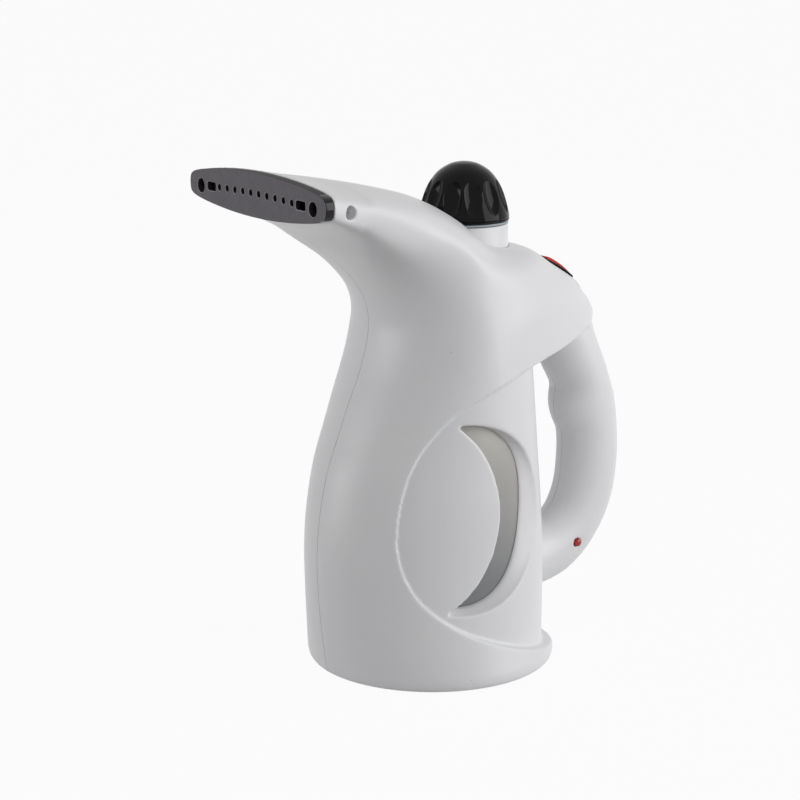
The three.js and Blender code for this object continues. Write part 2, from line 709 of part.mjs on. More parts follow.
// A thread ridge on a cylinder, as a wedge that climbs as it turns.
function threadRidge(rootRadius, tipRadius, from, turns) {
  const stepsPerTurn = 14;
  const count = Math.round(turns * stepsPerTurn);
  const tipHalf = threadWidth * 0.3;
  const rootHalf = threadWidth / 2;
  const rings = [];
  for (let i = 0; i <= count; i++) {
    const angle = i / stepsPerTurn * Math.PI * 2;
    const z = from + threadPitch * i / stepsPerTurn;
    const corner = (r, dz) => new THREE.Vector3(neckX + r * Math.cos(angle),
      r * Math.sin(angle), z + dz);
    const ring = [corner(rootRadius, -rootHalf), corner(tipRadius, -tipHalf),
      corner(tipRadius, tipHalf), corner(rootRadius, rootHalf)];
    rings.push(rootRadius < tipRadius ? ring.reverse() : ring);
  }
  return loft(rings);
}

function fillerNeck() {
  const sealRim = neckRadius - 2.6;
  const tube0 = cut(join(rod([neckX, 0, neckFlange], [neckX, 0, neckTop], neckRadius, 32),
    rod([neckX, 0, neckFlange], [neckX, 0, neckFlange + 3], neckRadius + 1.8, 32)),
  rod([neckX, 0, neckFlange - 1], [neckX, 0, neckTop + 1], boreRadius, 32),
  rod([neckX, 0, neckFlange - 1], [neckX, 0, neckFlange + 1], sealRim, 32));
  return join(tube0, threadRidge(boreRadius + 0.3, boreRadius - threadDepth,
    threadStart, threadTurns));
}

function neckSeal() {
  return collar(boreRadius - 0.5, neckRadius - 0.4, tankTop + fit, neckFlange - fit, neckX, 0, 24);
}

const washerBottom = neckTop + fit;
const washerTop = washerBottom + washerThick;
const capBottom = washerTop + fit;

function capWasher() {
  return collar(boreRadius, capRadius - 0.5, washerBottom, washerTop, neckX, 0, 32);
}

function fillerCap() {
  const r = capRadius;
  const h = capHeight;
  const dome = turned([[0, capBottom], [r - 0.4, capBottom], [r, capBottom + 0.5],
    [r - 0.4, capBottom + 0.13 * h], [r * 0.915, capBottom + 0.33 * h],
    [r * 0.83, capBottom + 0.52 * h], [r * 0.715, capBottom + 0.69 * h],
    [r * 0.55, capBottom + 0.84 * h], [r * 0.3, capBottom + 0.955 * h],
    [0, capBottom + h]], neckX, 0, 24);
  const core = boreRadius - threadDepth - threadGap;
  const spigotLow = threadStart - 2;
  let cap = join(dome, rod([neckX, 0, spigotLow], [neckX, 0, capBottom + 1], core, 24),
    threadRidge(core - 0.3, boreRadius - threadGap, threadStart + threadPitch / 2, threadTurns));
  cap = cut(cap, rod([neckX, 0, spigotLow - 1], [neckX, 0, capBottom + 6], core - 2.2, 24),
    rod([neckX, 0, capBottom + 5.9], [neckX, 0, capBottom + 0.7 * h], core - 2.2, 24, 6));
  for (let i = 0; i < fluteCount; i++) {
    const flute = new THREE.SphereGeometry(1, 6, 5);
    flute.scale(2.6, 4.3, 9.4);
    flute.rotateY(THREE.MathUtils.degToRad(-16));
    flute.translate(r * 0.955, 0, 0.4 * h);
    flute.rotateZ((i + 0.5) / fluteCount * Math.PI * 2);
    flute.translate(neckX, 0, capBottom);
    cap = cut(cap, toSolid(flute));
  }
  return cap;
}

// ---------------------------------------------------------------- nozzle

const plateStation = (x, inset = 0) => stationRing({ ...round, front: [x, nozzleLow],
  back: [x, nozzleTop], half: nozzleHalf, wide: x, flat: 1 }, inset, 10);
const plateSet = 0.3;          // how far the plate's edge sits inside the spout's
const slotAt = (jetCount - 1) / 2 * jetPitch + slotGap;
const portAt = slotAt + portGap;
const plateBack = -nozzleReach - fit;
const plateFront = plateBack - plateThick;

const rowHeight = (y) => nozzleHeight + rowBow * (1 - (y / portAt) ** 2) - rowBow / 2;

function hole(y, radius) {
  const z = rowHeight(y);
  return rod([plateFront - 2, y, z], [plateBack + 9, y, z], radius, 8);
}

function nozzlePlate() {
  const rim = wall + fit + 1.7;
  const pocket = rim + 1.8;
  let plate = join(
    loft([plateStation(plateFront, plateSet + 0.6), plateStation(plateFront + 0.6, plateSet),
      plateStation(plateBack, plateSet)].reverse()),
    loft([plateStation(plateBack - 1, rim), plateStation(plateBack + plateSpigot, rim)].reverse()));
  plate = cut(plate, loft([plateStation(plateFront + plateFace, pocket),
    plateStation(plateBack + plateSpigot + 1, pocket)].reverse()));
  for (const y of [-portAt, portAt]) {
    plate = cut(plate, hole(y, portRadius));
  }
  for (const y of [-slotAt, slotAt]) {
    const flatHalf = slotLength / 2 - 1.3;
    const tall = slotHeight / 2;
    plate = cut(plate,
      block([plateFront - 2, y - slotLength / 2, rowHeight(y) - tall + 1.2],
        [plateBack + 9, y + slotLength / 2, rowHeight(y) + tall - 1.2]),
      block([plateFront - 2, y - flatHalf, rowHeight(y) - tall],
        [plateBack + 9, y + flatHalf, rowHeight(y) + tall]));
  }
  for (let i = 0; i < jetCount; i++) {
    plate = cut(plate, hole((i - (jetCount - 1) / 2) * jetPitch, jetRadius));
  }
  return plate;
}

const spreaderFront = plateBack + plateSpigot + fit;
const spreaderPort = [spreaderFront + 15, nozzleHeight - 5];

// Box behind the plate that spreads the steam, with a spigot for the hose at its back.
function steamSpreader() {
  const wide = 41;
  const tall = 5.6;
  const oval = (x, half, rise, z) => Array.from({ length: 14 }, (_, i) => {
    const turn = i / 14 * Math.PI * 2;
    return new THREE.Vector3(x, half * Math.cos(turn), z + rise * Math.sin(turn));
  });
  const z0 = nozzleHeight - 0.4;
  const [px, pz] = spreaderPort;
  const body = (t, from) => loft([oval(from, wide - t, tall - t, z0),
    oval(spreaderFront + 3, wide - t, tall - t, z0),
    oval(spreaderFront + 8, 10 - t, 5.4 - t, z0 - 2)]);
  const spigotFrom = [spreaderFront + 7, 0, z0 - 2];
  return cut(join(body(0, spreaderFront), rod(spigotFrom, [px, 0, pz], hoseBore - fit, 16)),
    body(1.4, spreaderFront - 1),
    rod(spigotFrom, [2 * px - spigotFrom[0], 0, 2 * pz - spigotFrom[2]],
      hoseBore - fit - 1.2, 12));
}

function steamHose() {
  const [px, pz] = spreaderPort;
  const [sx, , sz] = steamPort.to;
  const route = [[sx + 3.7, 0, sz - 4.7], [sx, 0, sz], [-25, 0, 171], [-31, 0, 183],
    [-40, 0, 194], [-52, 0, 203.5], [px, 0, pz], [px - 4.5, 0, pz + 1.7]];
  const line = curve(route);
  const hoseSkin = (radius, from, to) => tube(
    line.getPoints(40).slice(from, to).map((p) => p.toArray()), radius, 12, 15);
  return cut(hoseSkin(hoseRadius, 4, 37), hoseSkin(hoseBore, 0, 41));
}

// ---------------------------------------------------------------- switch and lamp

const frameHalf = switchLength / 2;
const rockerSwing = 3 * fit;     // room for the rocker's ends as it tips
const rockerHalf = frameHalf - bezelRim - rockerSwing;
const rockerHalfWidth = switchWidth / 2 - bezelRim - fit;
const rockerPivot = -4.5;      // below the slope's line
const pocketFloor = -10;
const pinRadius = 1;
const ledgeTop = bezelSeat + fit + 0.7;   // inner ledge that joins the frame to the body
const stemHalf = 7.4;          // the rocker's lower part, in the switch's body
const stemHalfWidth = 4.8;

function switchHousing() {
  const end = frameHalf;
  const crowned = sideways([[-end - 1, 0], [end + 1, 0], [end + 0.1, bezelEdge],
    [end / 2, bezelCrown - 0.15], [0, bezelCrown], [-end / 2, bezelCrown - 0.15],
    [-end - 0.1, bezelEdge]], -switchWidth, switchWidth);
  const frame = slab(switchLength, switchWidth, bezelSeat + fit, 5, 2).intersect(crowned);
  const bladeSlot = (x) => block([x - 0.5, -2.6, -switchDepth - 1], [x + 0.5, 2.6, 3 - switchDepth]);
  return cut(join(frame,
    slab(switchLength - 2.4, switchWidth - 2.4, -switchDepth, bezelEdge - 1, 1)),
  slab(2 * (rockerHalf + rockerSwing), 2 * (rockerHalfWidth + fit), ledgeTop, 5, 0.4),
  slab(2 * (stemHalf + rockerSwing), 2 * (stemHalfWidth + fit), pocketFloor, 5, 0.6),
  rod([0, -10, rockerPivot], [0, 10, rockerPivot], pinRadius + fit, 12),
  bladeSlot(-bladeAt), bladeSlot(bladeAt));
}

// Crowned rocker on a narrower stem, built level and then tilted to its off position, which
// leaves its end towards the filler cap raised.
function switchRocker() {
  const crown = bezelCrown + rockerRise;
  const r = rockerHalf;
  const sink = r * Math.sin(THREE.MathUtils.degToRad(rockerTilt));
  const under = ledgeTop + fit + sink;
  const top = sideways([[-r, under], [r, under], [r, crown - 1.1], [r - 0.5, crown - 0.4],
    [r * 0.58, crown - 0.1], [0, crown], [-r * 0.58, crown - 0.1], [0.5 - r, crown - 0.4],
    [-r, crown - 1.1]], -rockerHalfWidth, rockerHalfWidth);
  const stem = sideways([[-stemHalf, rockerPivot - 1.5], [0, rockerPivot - 3.6],
    [stemHalf, rockerPivot - 1.5], [stemHalf, crown - 2], [-stemHalf, crown - 2]],
  -stemHalfWidth, stemHalfWidth);
  const pin = rod([0, -stemHalfWidth - 0.9, rockerPivot], [0, stemHalfWidth + 0.9, rockerPivot],
    pinRadius, 10);
  return join(top, stem, pin).translate([0, 0, -rockerPivot]).rotate([0, rockerTilt, 0])
    .translate([0, 0, rockerPivot]);
}

function switchTerminal(x) {
  return block([x - 0.35, -2.2, -switchDepth - bladeReach], [x + 0.35, 2.2, 2.6 - switchDepth]);
}

function lampLens() {
  const y = -gripHalfWidth + 0.5;
  return join(rod([lampAt.x, y - 1.0, lampAt.z], [lampAt.x, y + 4, lampAt.z], lampRadius, 16),
    rod([lampAt.x, y - 1.0, lampAt.z], [lampAt.x, y - 1.6, lampAt.z], lampRadius, 16,
      lampRadius * 0.6));
}

function lampBulb() {
  const y = -gripHalfWidth + 0.5 + 4 + fit;
  return rod([lampAt.x, y, lampAt.z], [lampAt.x, y + 7, lampAt.z], 2.2, 14);
}

// ---------------------------------------------------------------- wiring inside

const slopePoint = (x, y, z) => {
  const c = Math.cos(slopeTurn);
  const s = Math.sin(slopeTurn);
  return [switchMiddle[0] + c * x - s * z, y, switchMiddle[1] + s * x + c * z];
};

function wires() {
  const blockTop = blockSeat + blockHeight + 2 * fit + wireRadius;
  const tail = (x) => slopePoint(x, 0, -switchDepth - bladeReach - fit - wireRadius);
  const side = 4.5;              // the two wires lie this far each side of the middle plane
  const link = (y) => [[36, y + Math.sign(y) * 0.5, 17], [46.5, y, 28], [54, y, 33], [62, y, 39.4]];
  const back = handleBack;
  const under = switchMiddle[0];
  return {
    wire_supply_to_switch: [[8, side, blockTop], [20, side + 0.5, blockTop + 1], ...link(side),
      [back - 12, side, 62], [back - 8.5, side, 84], [back - 12, side, 108],
      [back - 16, side, 128], [back - 20, side - 1, 143.5], tail(bladeAt)],
    wire_switch_to_heater: [[-8, -side, blockTop], [2, -10, blockTop + 0.5],
      [24, -8, blockTop + 1.2], ...link(-side), [back - 13.5, -1, 62], [back - 9.5, -side, 84],
      [back - 13, -side, 108], [back - 17, -side, 128],
      [back - 20.5, 1 - side, 144], [under - 6.5, 1 - side, 147.5],
      tail(-bladeAt)],
  };
}

// ---------------------------------------------------------------- assembly

const finish = {
  white: { color: 0xd9d9db, roughness: 0.3, metalness: 0 },
  black: { color: 0x151517, roughness: 0.15, metalness: 0 },
  dark: { color: 0x4b494d, roughness: 0.6, metalness: 0 },
  red: { color: 0xb5201c, roughness: 0.25, metalness: 0 },
  clear: { color: 0xb9babd, roughness: 0.35, metalness: 0, transparent: true, opacity: 0.6 },
  rubber: { color: 0x6f7478, roughness: 0.7, metalness: 0 },
  silicone: { color: 0xc9c4bb, roughness: 0.6, metalness: 0 },
  alloy: { color: 0xa6a8ab, roughness: 0.45, metalness: 0.9 },
  steel: { color: 0x8d9094, roughness: 0.35, metalness: 1 },
  ceramic: { color: 0xe4dfd2, roughness: 0.8, metalness: 0 },
  wireRed: { color: 0x9c2a22, roughness: 0.5, metalness: 0 },
  wireBlue: { color: 0x27508f, roughness: 0.5, metalness: 0 },
};

const group = new THREE.Group();

function add(name, solid, look) {
  const mesh = new THREE.Mesh(toGeometry(solid), new THREE.MeshStandardMaterial(look));
  mesh.name = name;
  group.add(mesh);
}

add('left_shell', shell(-1), finish.white);
add('right_shell', shell(1), finish.white);
add('base_cover', baseCover(), finish.white);
fixingTurns.forEach((turn, i) => {
  const [x, y] = fixingPlace(turn);
  add(`base_screw_${i + 1}`, screw([x, y, headSink], [x, y, 15]), finish.steel);
});
shellScrews.forEach(({ x, z, half }, i) => {
  add(`shell_screw_${i + 1}`, screw([x, half * 0.6 + headThick + fit, z], [x, 1 - half * 0.6, z]),
    finish.steel);
});
add('water_tank', waterTank(), finish.clear);
add('tank_gasket', tankGasket(), finish.silicone);
add('heating_plate', hotPlate(), finish.alloy);
clampTurns.forEach((turn, i) => {
  const [x, y] = clampPlace(turn);
  add(`plate_screw_${i + 1}`, screw([x, y, plateBottom - headThick - fit], [x, y, tankBottom - fit]),
    finish.steel);
});
add('heating_element', heatingElement(), finish.steel);
add('thermostat', thermostat(), finish.alloy);
add('thermal_fuse', thermalFuse(), finish.ceramic);
add('terminal_block', terminalBlock(), finish.ceramic);
add('cord_inlet', cordInlet(), finish.rubber);
add('filler_neck', fillerNeck(), finish.white);
add('neck_seal', neckSeal(), finish.silicone);
add('filler_cap', fillerCap(), finish.black);
add('cap_washer', capWasher(), finish.rubber);
add('nozzle_plate', nozzlePlate(), finish.dark);
add('steam_spreader', steamSpreader(), finish.black);
add('steam_hose', steamHose(), finish.silicone);
add('switch_housing', onSlope(switchHousing()), finish.black);
add('switch_rocker', onSlope(switchRocker()), finish.red);
add('switch_terminal_1', onSlope(switchTerminal(-bladeAt)), finish.steel);
add('switch_terminal_2', onSlope(switchTerminal(bladeAt)), finish.steel);
add('lamp_lens', lampLens(), finish.red);
add('lamp_bulb', lampBulb(), finish.clear);
for (const [name, route] of Object.entries(wires())) {
  add(name, tube(route, wireRadius, 6, 22), name.includes('heater') ? finish.wireBlue : finish.wireRed);
}

export default group;
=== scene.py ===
"""Looks of a handheld garment steamer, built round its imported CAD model. Lengths are in millimetres
until a piece is finished, when it is scaled to metres."""

from functools import cache
from itertools import accumulate
from math import atan2, cos, hypot, pi, radians, sin, sqrt, tau

import bmesh
import bpy
from mathutils import Matrix, Vector


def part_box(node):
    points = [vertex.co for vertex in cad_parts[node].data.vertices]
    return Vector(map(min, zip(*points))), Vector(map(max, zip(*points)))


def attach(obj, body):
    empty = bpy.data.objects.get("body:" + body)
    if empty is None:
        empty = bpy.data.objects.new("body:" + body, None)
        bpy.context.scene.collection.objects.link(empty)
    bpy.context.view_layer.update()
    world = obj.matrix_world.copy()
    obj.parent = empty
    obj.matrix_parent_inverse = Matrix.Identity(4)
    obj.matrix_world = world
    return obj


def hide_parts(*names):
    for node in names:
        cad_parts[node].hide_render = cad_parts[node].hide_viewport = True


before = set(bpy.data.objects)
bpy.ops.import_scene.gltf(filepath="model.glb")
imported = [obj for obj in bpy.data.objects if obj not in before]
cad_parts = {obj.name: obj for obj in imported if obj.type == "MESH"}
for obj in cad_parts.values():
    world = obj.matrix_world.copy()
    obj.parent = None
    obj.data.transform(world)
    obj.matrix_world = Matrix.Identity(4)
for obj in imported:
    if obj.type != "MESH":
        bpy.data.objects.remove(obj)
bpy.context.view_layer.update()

MM = 0.001


def box_mm(node):
    """Lowest and highest corner of a CAD node, in millimetres."""
    low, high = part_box(node)
    return low / MM, high / MM


# ---------------- sizes, in millimetres

FIT = 0.3            # gap between pieces that touch
WALL = 2.2           # moulded wall of the shells
STEP = 1.0           # how far the cloak stands proud of the barrel
SPLIT = 0.12         # half of the parting line between the shells

neck_low, neck_high = box_mm("filler_neck")
cap_low, cap_high = box_mm("filler_cap")
washer_low, washer_high = box_mm("cap_washer")
tank_low, tank_high = box_mm("water_tank")
plate_low = box_mm("nozzle_plate")[0]
cover_high = box_mm("base_cover")[1]

BASE_RADIUS = 56.0
SHELL_BOTTOM = box_mm("left_shell")[0].z
LIP_HEIGHT = 4.0     # top of the foot's lip, where the cloak's edge runs out behind
BARREL_RADIUS = 50.6
BELLY_REACH = 60.9   # a reach is measured forwards or backwards from the base's middle
BELLY_HALF = 49.8    # a half is half a width, across the steamer
TAIL_REACH = 89.0    # the tail is the hood's point over the handle
TAIL_HEIGHT = 147.0
HEAD_HALF = 45.6
THROAT_REACH = 33.4
NOZZLE_REACH = 85.4
NOZZLE_HEIGHT = 217.5
NOZZLE_RISE = 19.4
NOZZLE_HALF = 55.9
NOZZLE_LOW = NOZZLE_HEIGHT - NOZZLE_RISE / 2
NOZZLE_TOP = NOZZLE_HEIGHT + NOZZLE_RISE / 2

HANDLE_BACK = 90.0
GRIP_HALF_DEPTH = 15.6
GRIP_HALF_WIDTH = 13.3

NECK_X = (neck_low.x + neck_high.x) / 2
NECK_RADIUS = 19.7
NECK_TOP = neck_high.z
NECK_FLANGE = 1.8
NECK_GAP = 0.12      # between the neck and the shells
BORE_RADIUS = 15.4
THREAD_PITCH = 4.0
THREAD_TURNS = 1.3
THREAD_START = 186.5
RIDGE_WIDTH = 1.4
CAP_CLEARANCE = 21.2   # radius of the recess in which the cap turns

TANK_RADIUS = 43.4
TANK_X = 3.0
TANK_WALL = 2.0
RIM_GAP = 0.2        # between the tank and the rims round its windows
COVER_RADIUS = cover_high.x

LAMP_X = HANDLE_BACK - 15
LAMP_Z = 42.6
LAMP_RADIUS = 1.8
INLET_TURN = radians(52)
INLET_RADIUS = 5.5
INLET_HEIGHT = 24.0
CLIP_HOLE = (9.6 - NOZZLE_REACH, NOZZLE_HEIGHT - 2.4)
CLIP_HOLE_RADIUS = 2.8
CLIP_HOLE_DEPTH = 5.0

SCREW_HEAD = 2.6     # radius of a screw's head
HEAD_THICK = 1.8
SHANK = 1.4          # radius over the thread

SWITCH_LENGTH = 21.0
SWITCH_WIDTH = 15.0
SWITCH_DEPTH = 15.0
SWITCH_FROM = (55.4, 177.1)    # the slope under the switch, seen from the side
SWITCH_TO = (73.5, 166.2)
BEZEL_SEAT = 0.9     # heights over that slope
BEZEL_EDGE = 2.6
BEZEL_CROWN = 3.3

BODY_GRAIN = 0.55    # how finely the body's skin is made
BODY_SHARE = 0.32    # share of that skin's faces that are kept
ABOVE = 230          # height over everything, for tools that cut from above
AROUND = 90          # distance past both sides of the body

# ---------------- making shapes


def through(values, knots, at):
    """Smooth curve through rows of numbers, read at one knot value."""
    i = 0
    while i < len(knots) - 2 and at > knots[i + 1]:
        i += 1
    span = knots[i + 1] - knots[i]
    t = (at - knots[i]) / span

    def slope(k, n):
        a, b = max(k - 1, 0), min(k + 1, len(knots) - 1)
        return (values[b][n] - values[a][n]) / (knots[b] - knots[a])

    row = []
    for n in range(len(values[0])):
        p, q = values[i][n], values[i + 1][n]
        m, k = slope(i, n) * span, slope(i + 1, n) * span
        row.append((2 * t ** 3 - 3 * t ** 2 + 1) * p + (t ** 3 - 2 * t ** 2 + t) * m
                   + (3 * t ** 2 - 2 * t ** 3) * q + (t ** 3 - t ** 2) * k)
    return row


def run_of(rows, step):
    """How far along a list of rows each one lies, from the length of a step between two."""
    return list(accumulate(map(step, rows, rows[1:]), initial=0))


def wrap(form, rows, columns):
    """A grid laid round a form: form(u, v) gives the point, u runs along and v once round.
    The seam is welded and both ends are filled."""
    bm = bmesh.new()
    bmesh.ops.create_grid(bm, x_segments=rows, y_segments=columns, size=0.5)
    for vert in bm.verts:
        vert.co = form(vert.co.x + 0.5, vert.co.y + 0.5)
    bmesh.ops.remove_doubles(bm, verts=bm.verts, dist=1e-4)
    bmesh.ops.holes_fill(bm, edges=[e for e in bm.edges if e.is_boundary], sides=0)
    bmesh.ops.recalc_face_normals(bm, faces=bm.faces)
    return bm


def turned_to(direction):
    """Turn that takes +Z to a direction."""
    return direction.to_track_quat("Z", "Y").to_matrix().to_4x4()


def cylinder(start, end, radius, segments=48, end_radius=None):
    """A round bar, or a cone, between two points."""
    start, end = Vector(start), Vector(end)
    axis = end - start
    bm = bmesh.new()
    bmesh.ops.create_cone(bm, cap_ends=True, segments=segments, radius1=radius,
                          radius2=radius if end_radius is None else end_radius,
                          depth=axis.length,
                          matrix=Matrix.Translation((start + end) / 2) @ turned_to(axis))
    return bm


def block(low, high):
    bm = bmesh.new()
    bmesh.ops.create_cube(bm, size=1)
    size = Vector(high) - Vector(low)
    bmesh.ops.scale(bm, vec=size, verts=bm.verts)
    bmesh.ops.translate(bm, vec=(Vector(high) + Vector(low)) / 2, verts=bm.verts)
    return bm


def outline_prism(points, direction):
    """A flat outline, a list of 3-D points, drawn out along a direction."""
    bm = bmesh.new()
    verts = [bm.verts.new(p) for p in points]
    face = bm.faces.new(verts)
    grown = bmesh.ops.extrude_face_region(bm, geom=[face])["geom"]
    moved = [g for g in grown if isinstance(g, bmesh.types.BMVert)]
    bmesh.ops.translate(bm, vec=direction, verts=moved)
    bmesh.ops.recalc_face_normals(bm, faces=bm.faces)
    return bm


def side_prism(line, y0, y1):
    """A side-view outline, a list of (x, z), drawn out along Y."""
    return outline_prism([(x, y0, z) for x, z in line], (0, y1 - y0, 0))


def eased(outline, reach, steps=5):
    """A closed outline with its corners rounded; the curve starts that far from each corner."""
    points = []
    for i, corner in enumerate(outline):
        here, before = Vector(corner), Vector(outline[i - 1])
        after = Vector(outline[(i + 1) % len(outline)])
        a = here + (before - here).normalized() * min(reach, (before - here).length / 2)
        b = here + (after - here).normalized() * min(reach, (after - here).length / 2)
        for k in range(steps + 1):
            t = k / steps
            points.append(tuple((1 - t) ** 2 * a + 2 * (1 - t) * t * here + t * t * b))
    return points


def spun(profile, segments=96, closed=True, place=None):
    """A piece turned about Z, from a list of (radius, height), then put in its place. An open
    profile starts and ends on the axis."""
    bm = bmesh.new()
    verts = [bm.verts.new((r, 0, z)) for r, z in profile]
    pairs = list(zip(verts, verts[1:])) + ([(verts[-1], verts[0])] if closed else [])
    edges = [bm.edges.new(pair) for pair in pairs]
    bmesh.ops.spin(bm, geom=verts + edges, axis=(0, 0, 1), cent=(0, 0, 0), dvec=(0, 0, 0),
                   angle=tau, steps=segments, use_merge=True)
    bmesh.ops.remove_doubles(bm, verts=bm.verts, dist=1e-4)
    bmesh.ops.recalc_face_normals(bm, faces=bm.faces)
    if place is not None:
        bmesh.ops.transform(bm, matrix=place, verts=bm.verts)
    return bm


def along(start, end):
    """Place for a piece built on the Z axis from 0 up: its foot at start, pointing to end."""
    start, end = Vector(start), Vector(end)
    return Matrix.Translation(start) @ turned_to(end - start)


def scene_object(name, data):
    """A new object of the scene round a mesh, a light or a camera."""
    thing = bpy.data.objects.new(name, data)
    bpy.context.scene.collection.objects.link(thing)
    return thing


def to_object(bm, name="work"):
    mesh = bpy.data.meshes.new(name)
    bm.to_mesh(mesh)
    bm.free()
    return scene_object(name, mesh)


def settle(piece):
    """Applies the piece's modifiers to its mesh."""
    graph = bpy.context.evaluated_depsgraph_get()
    done = bpy.data.meshes.new_from_object(piece.evaluated_get(graph))
    piece.modifiers.clear()
    old = piece.data
    piece.data = done
    bpy.data.meshes.remove(old)


def combine(piece, operation, *tools):
    """Joins, cuts or intersects a piece with tools, which are used up. Each is a bmesh or an
    object."""
    piece, *others = [t if isinstance(t, bpy.types.Object) else to_object(t)
                      for t in (piece, *tools)]
    for other in others:
        step = piece.modifiers.new("combine", "BOOLEAN")
        step.operation = operation
        step.solver = "MANIFOLD"
        step.object = other
    settle(piece)
    for other in others:
        bpy.data.objects.remove(other)
    return piece


def join(piece, *tools):
    return combine(piece, "UNION", *tools)


def cut(piece, *tools):
    return combine(piece, "DIFFERENCE", *tools)


def soften(piece, grain, passes=3):
    """Remakes a piece's skin as an even fine mesh, which rounds its edges as a mould does."""
    remesh = piece.modifiers.new("even", "REMESH")
    remesh.mode = "VOXEL"
    remesh.voxel_size = grain
    smooth = piece.modifiers.new("ease", "SMOOTH")
    smooth.factor = 0.5
    smooth.iterations = passes
    settle(piece)
    return piece


def thin_out(piece, share):
    """Keeps a share of a piece's faces, where its form needs them most."""
    fewer = piece.modifiers.new("fewer", "DECIMATE")
    fewer.ratio = share
    settle(piece)
    return piece


# ---------------- outer form of the body

ROUND = dict(tail=2.0, blunt=0.5, under=2.0, flat=0.0)


def station(front, back, half, wide, **shape):
    """One ring of a form: its front and back ends in the side view, half its width, where it is
    widest, and its shape. Tail and blunt shape the rear oval, under the front one, and flat takes
    the ring over into the nozzle's outline."""
    s = {**ROUND, **shape}
    return (*front, *back, half, wide, s["tail"], s["blunt"], s["under"], s["flat"])


def low_station(front, back, z, half, wide):
    """A level ring."""
    return station((-front, z), (back, z), half, wide)


# The cloak is the outer form of spout, front, foot and hood, from the base up.
CLOAK = [
    low_station(BASE_RADIUS - 1.4, BASE_RADIUS - 1.4, SHELL_BOTTOM, BASE_RADIUS - 1.4, 0),
    low_station(BASE_RADIUS - 0.2, BASE_RADIUS - 0.2, 2.2, BASE_RADIUS - 0.2, 0),
    low_station(BASE_RADIUS + 0.5, BASE_RADIUS, 5, BASE_RADIUS, 0),
    low_station(BASE_RADIUS + 1.4, BASE_RADIUS - 0.8, 11, BASE_RADIUS - 1.4, 0.5),
    low_station(BELLY_REACH - 2, BARREL_RADIUS + 2.8, 22, BELLY_HALF + 2.4, 2),
    low_station(BELLY_REACH - 0.7, BARREL_RADIUS + 2, 36, BELLY_HALF + 0.8, 4),
    station((-BELLY_REACH, 52), (BARREL_RADIUS + 3, 56), BELLY_HALF, 5),
    station((0.6 - BELLY_REACH, 66), (57, 74), BELLY_HALF - 0.4, 5, tail=1.9, blunt=0.52),
    station((2.6 - BELLY_REACH, 80), (63, 92), BELLY_HALF - 0.8, 5, tail=1.8, blunt=0.54),
    station((5.8 - BELLY_REACH, 94), (70, 110), HEAD_HALF + 2.4, 5, tail=1.65, blunt=0.57),
    station((-50.2, 107), (78, 126), HEAD_HALF + 1.6, 5, tail=1.5, blunt=0.6),
    station((-45.4, 119.5), (TAIL_REACH - 3.5, 140), HEAD_HALF + 0.8, 5, tail=1.35, blunt=0.62),
    station((-41.4, 129), (TAIL_REACH, TAIL_HEIGHT), HEAD_HALF + 0.2, 4, tail=1.3, blunt=0.64),
    station((-38.8, 135), (TAIL_REACH + 0.8, TAIL_HEIGHT + 5), HEAD_HALF, 4, tail=1.3, blunt=0.64),
    station((-36.4, 142), (TAIL_REACH - 4.4, 159.6), HEAD_HALF - 0.6, 4, tail=1.4, blunt=0.62),
    station((-34.4, 150), (TAIL_REACH - 14, 168.4), HEAD_HALF - 1.6, 4, tail=1.6, blunt=0.58),
    station((-THROAT_REACH, 158), (61, 177.2), HEAD_HALF - 3.2, 3, tail=1.8, blunt=0.54),
    station((-THROAT_REACH - 1.2, 165.4), (46, 185.4), HEAD_HALF - 4.4, 0),
    station((-THROAT_REACH - 4.4, 172.6), (17.4, 192.2), HEAD_HALF - 4.8, -4,
            tail=1.9, blunt=0.54, under=2.1),
    station((-THROAT_REACH - 9.8, 179.6), (2.6, 203), HEAD_HALF - 4.6, -15,
            tail=1.9, blunt=0.54, under=2.2, flat=0.1),
    station((-THROAT_REACH - 16.2, 186), (-15, 212.2), HEAD_HALF - 3.8, -31,
            tail=2, blunt=0.5, under=2.3, flat=0.3),
    station((-THROAT_REACH - 26, 193.2), (-36, 218), HEAD_HALF - 0.8, -47,
            tail=2.3, blunt=0.46, under=2.4, flat=0.55),
    station((17 - NOZZLE_REACH, 199.8), (28 - NOZZLE_REACH, 222.2), NOZZLE_HALF - 7,
            23 - NOZZLE_REACH, tail=2.4, blunt=0.46, flat=0.8),
    station((8 - NOZZLE_REACH, 204.4), (11 - NOZZLE_REACH, 225), NOZZLE_HALF - 2.8,
            9.5 - NOZZLE_REACH, tail=2.4, blunt=0.45, flat=0.95),
    station((-NOZZLE_REACH, NOZZLE_LOW), (-NOZZLE_REACH, NOZZLE_TOP), NOZZLE_HALF,
            -NOZZLE_REACH, flat=1),
]

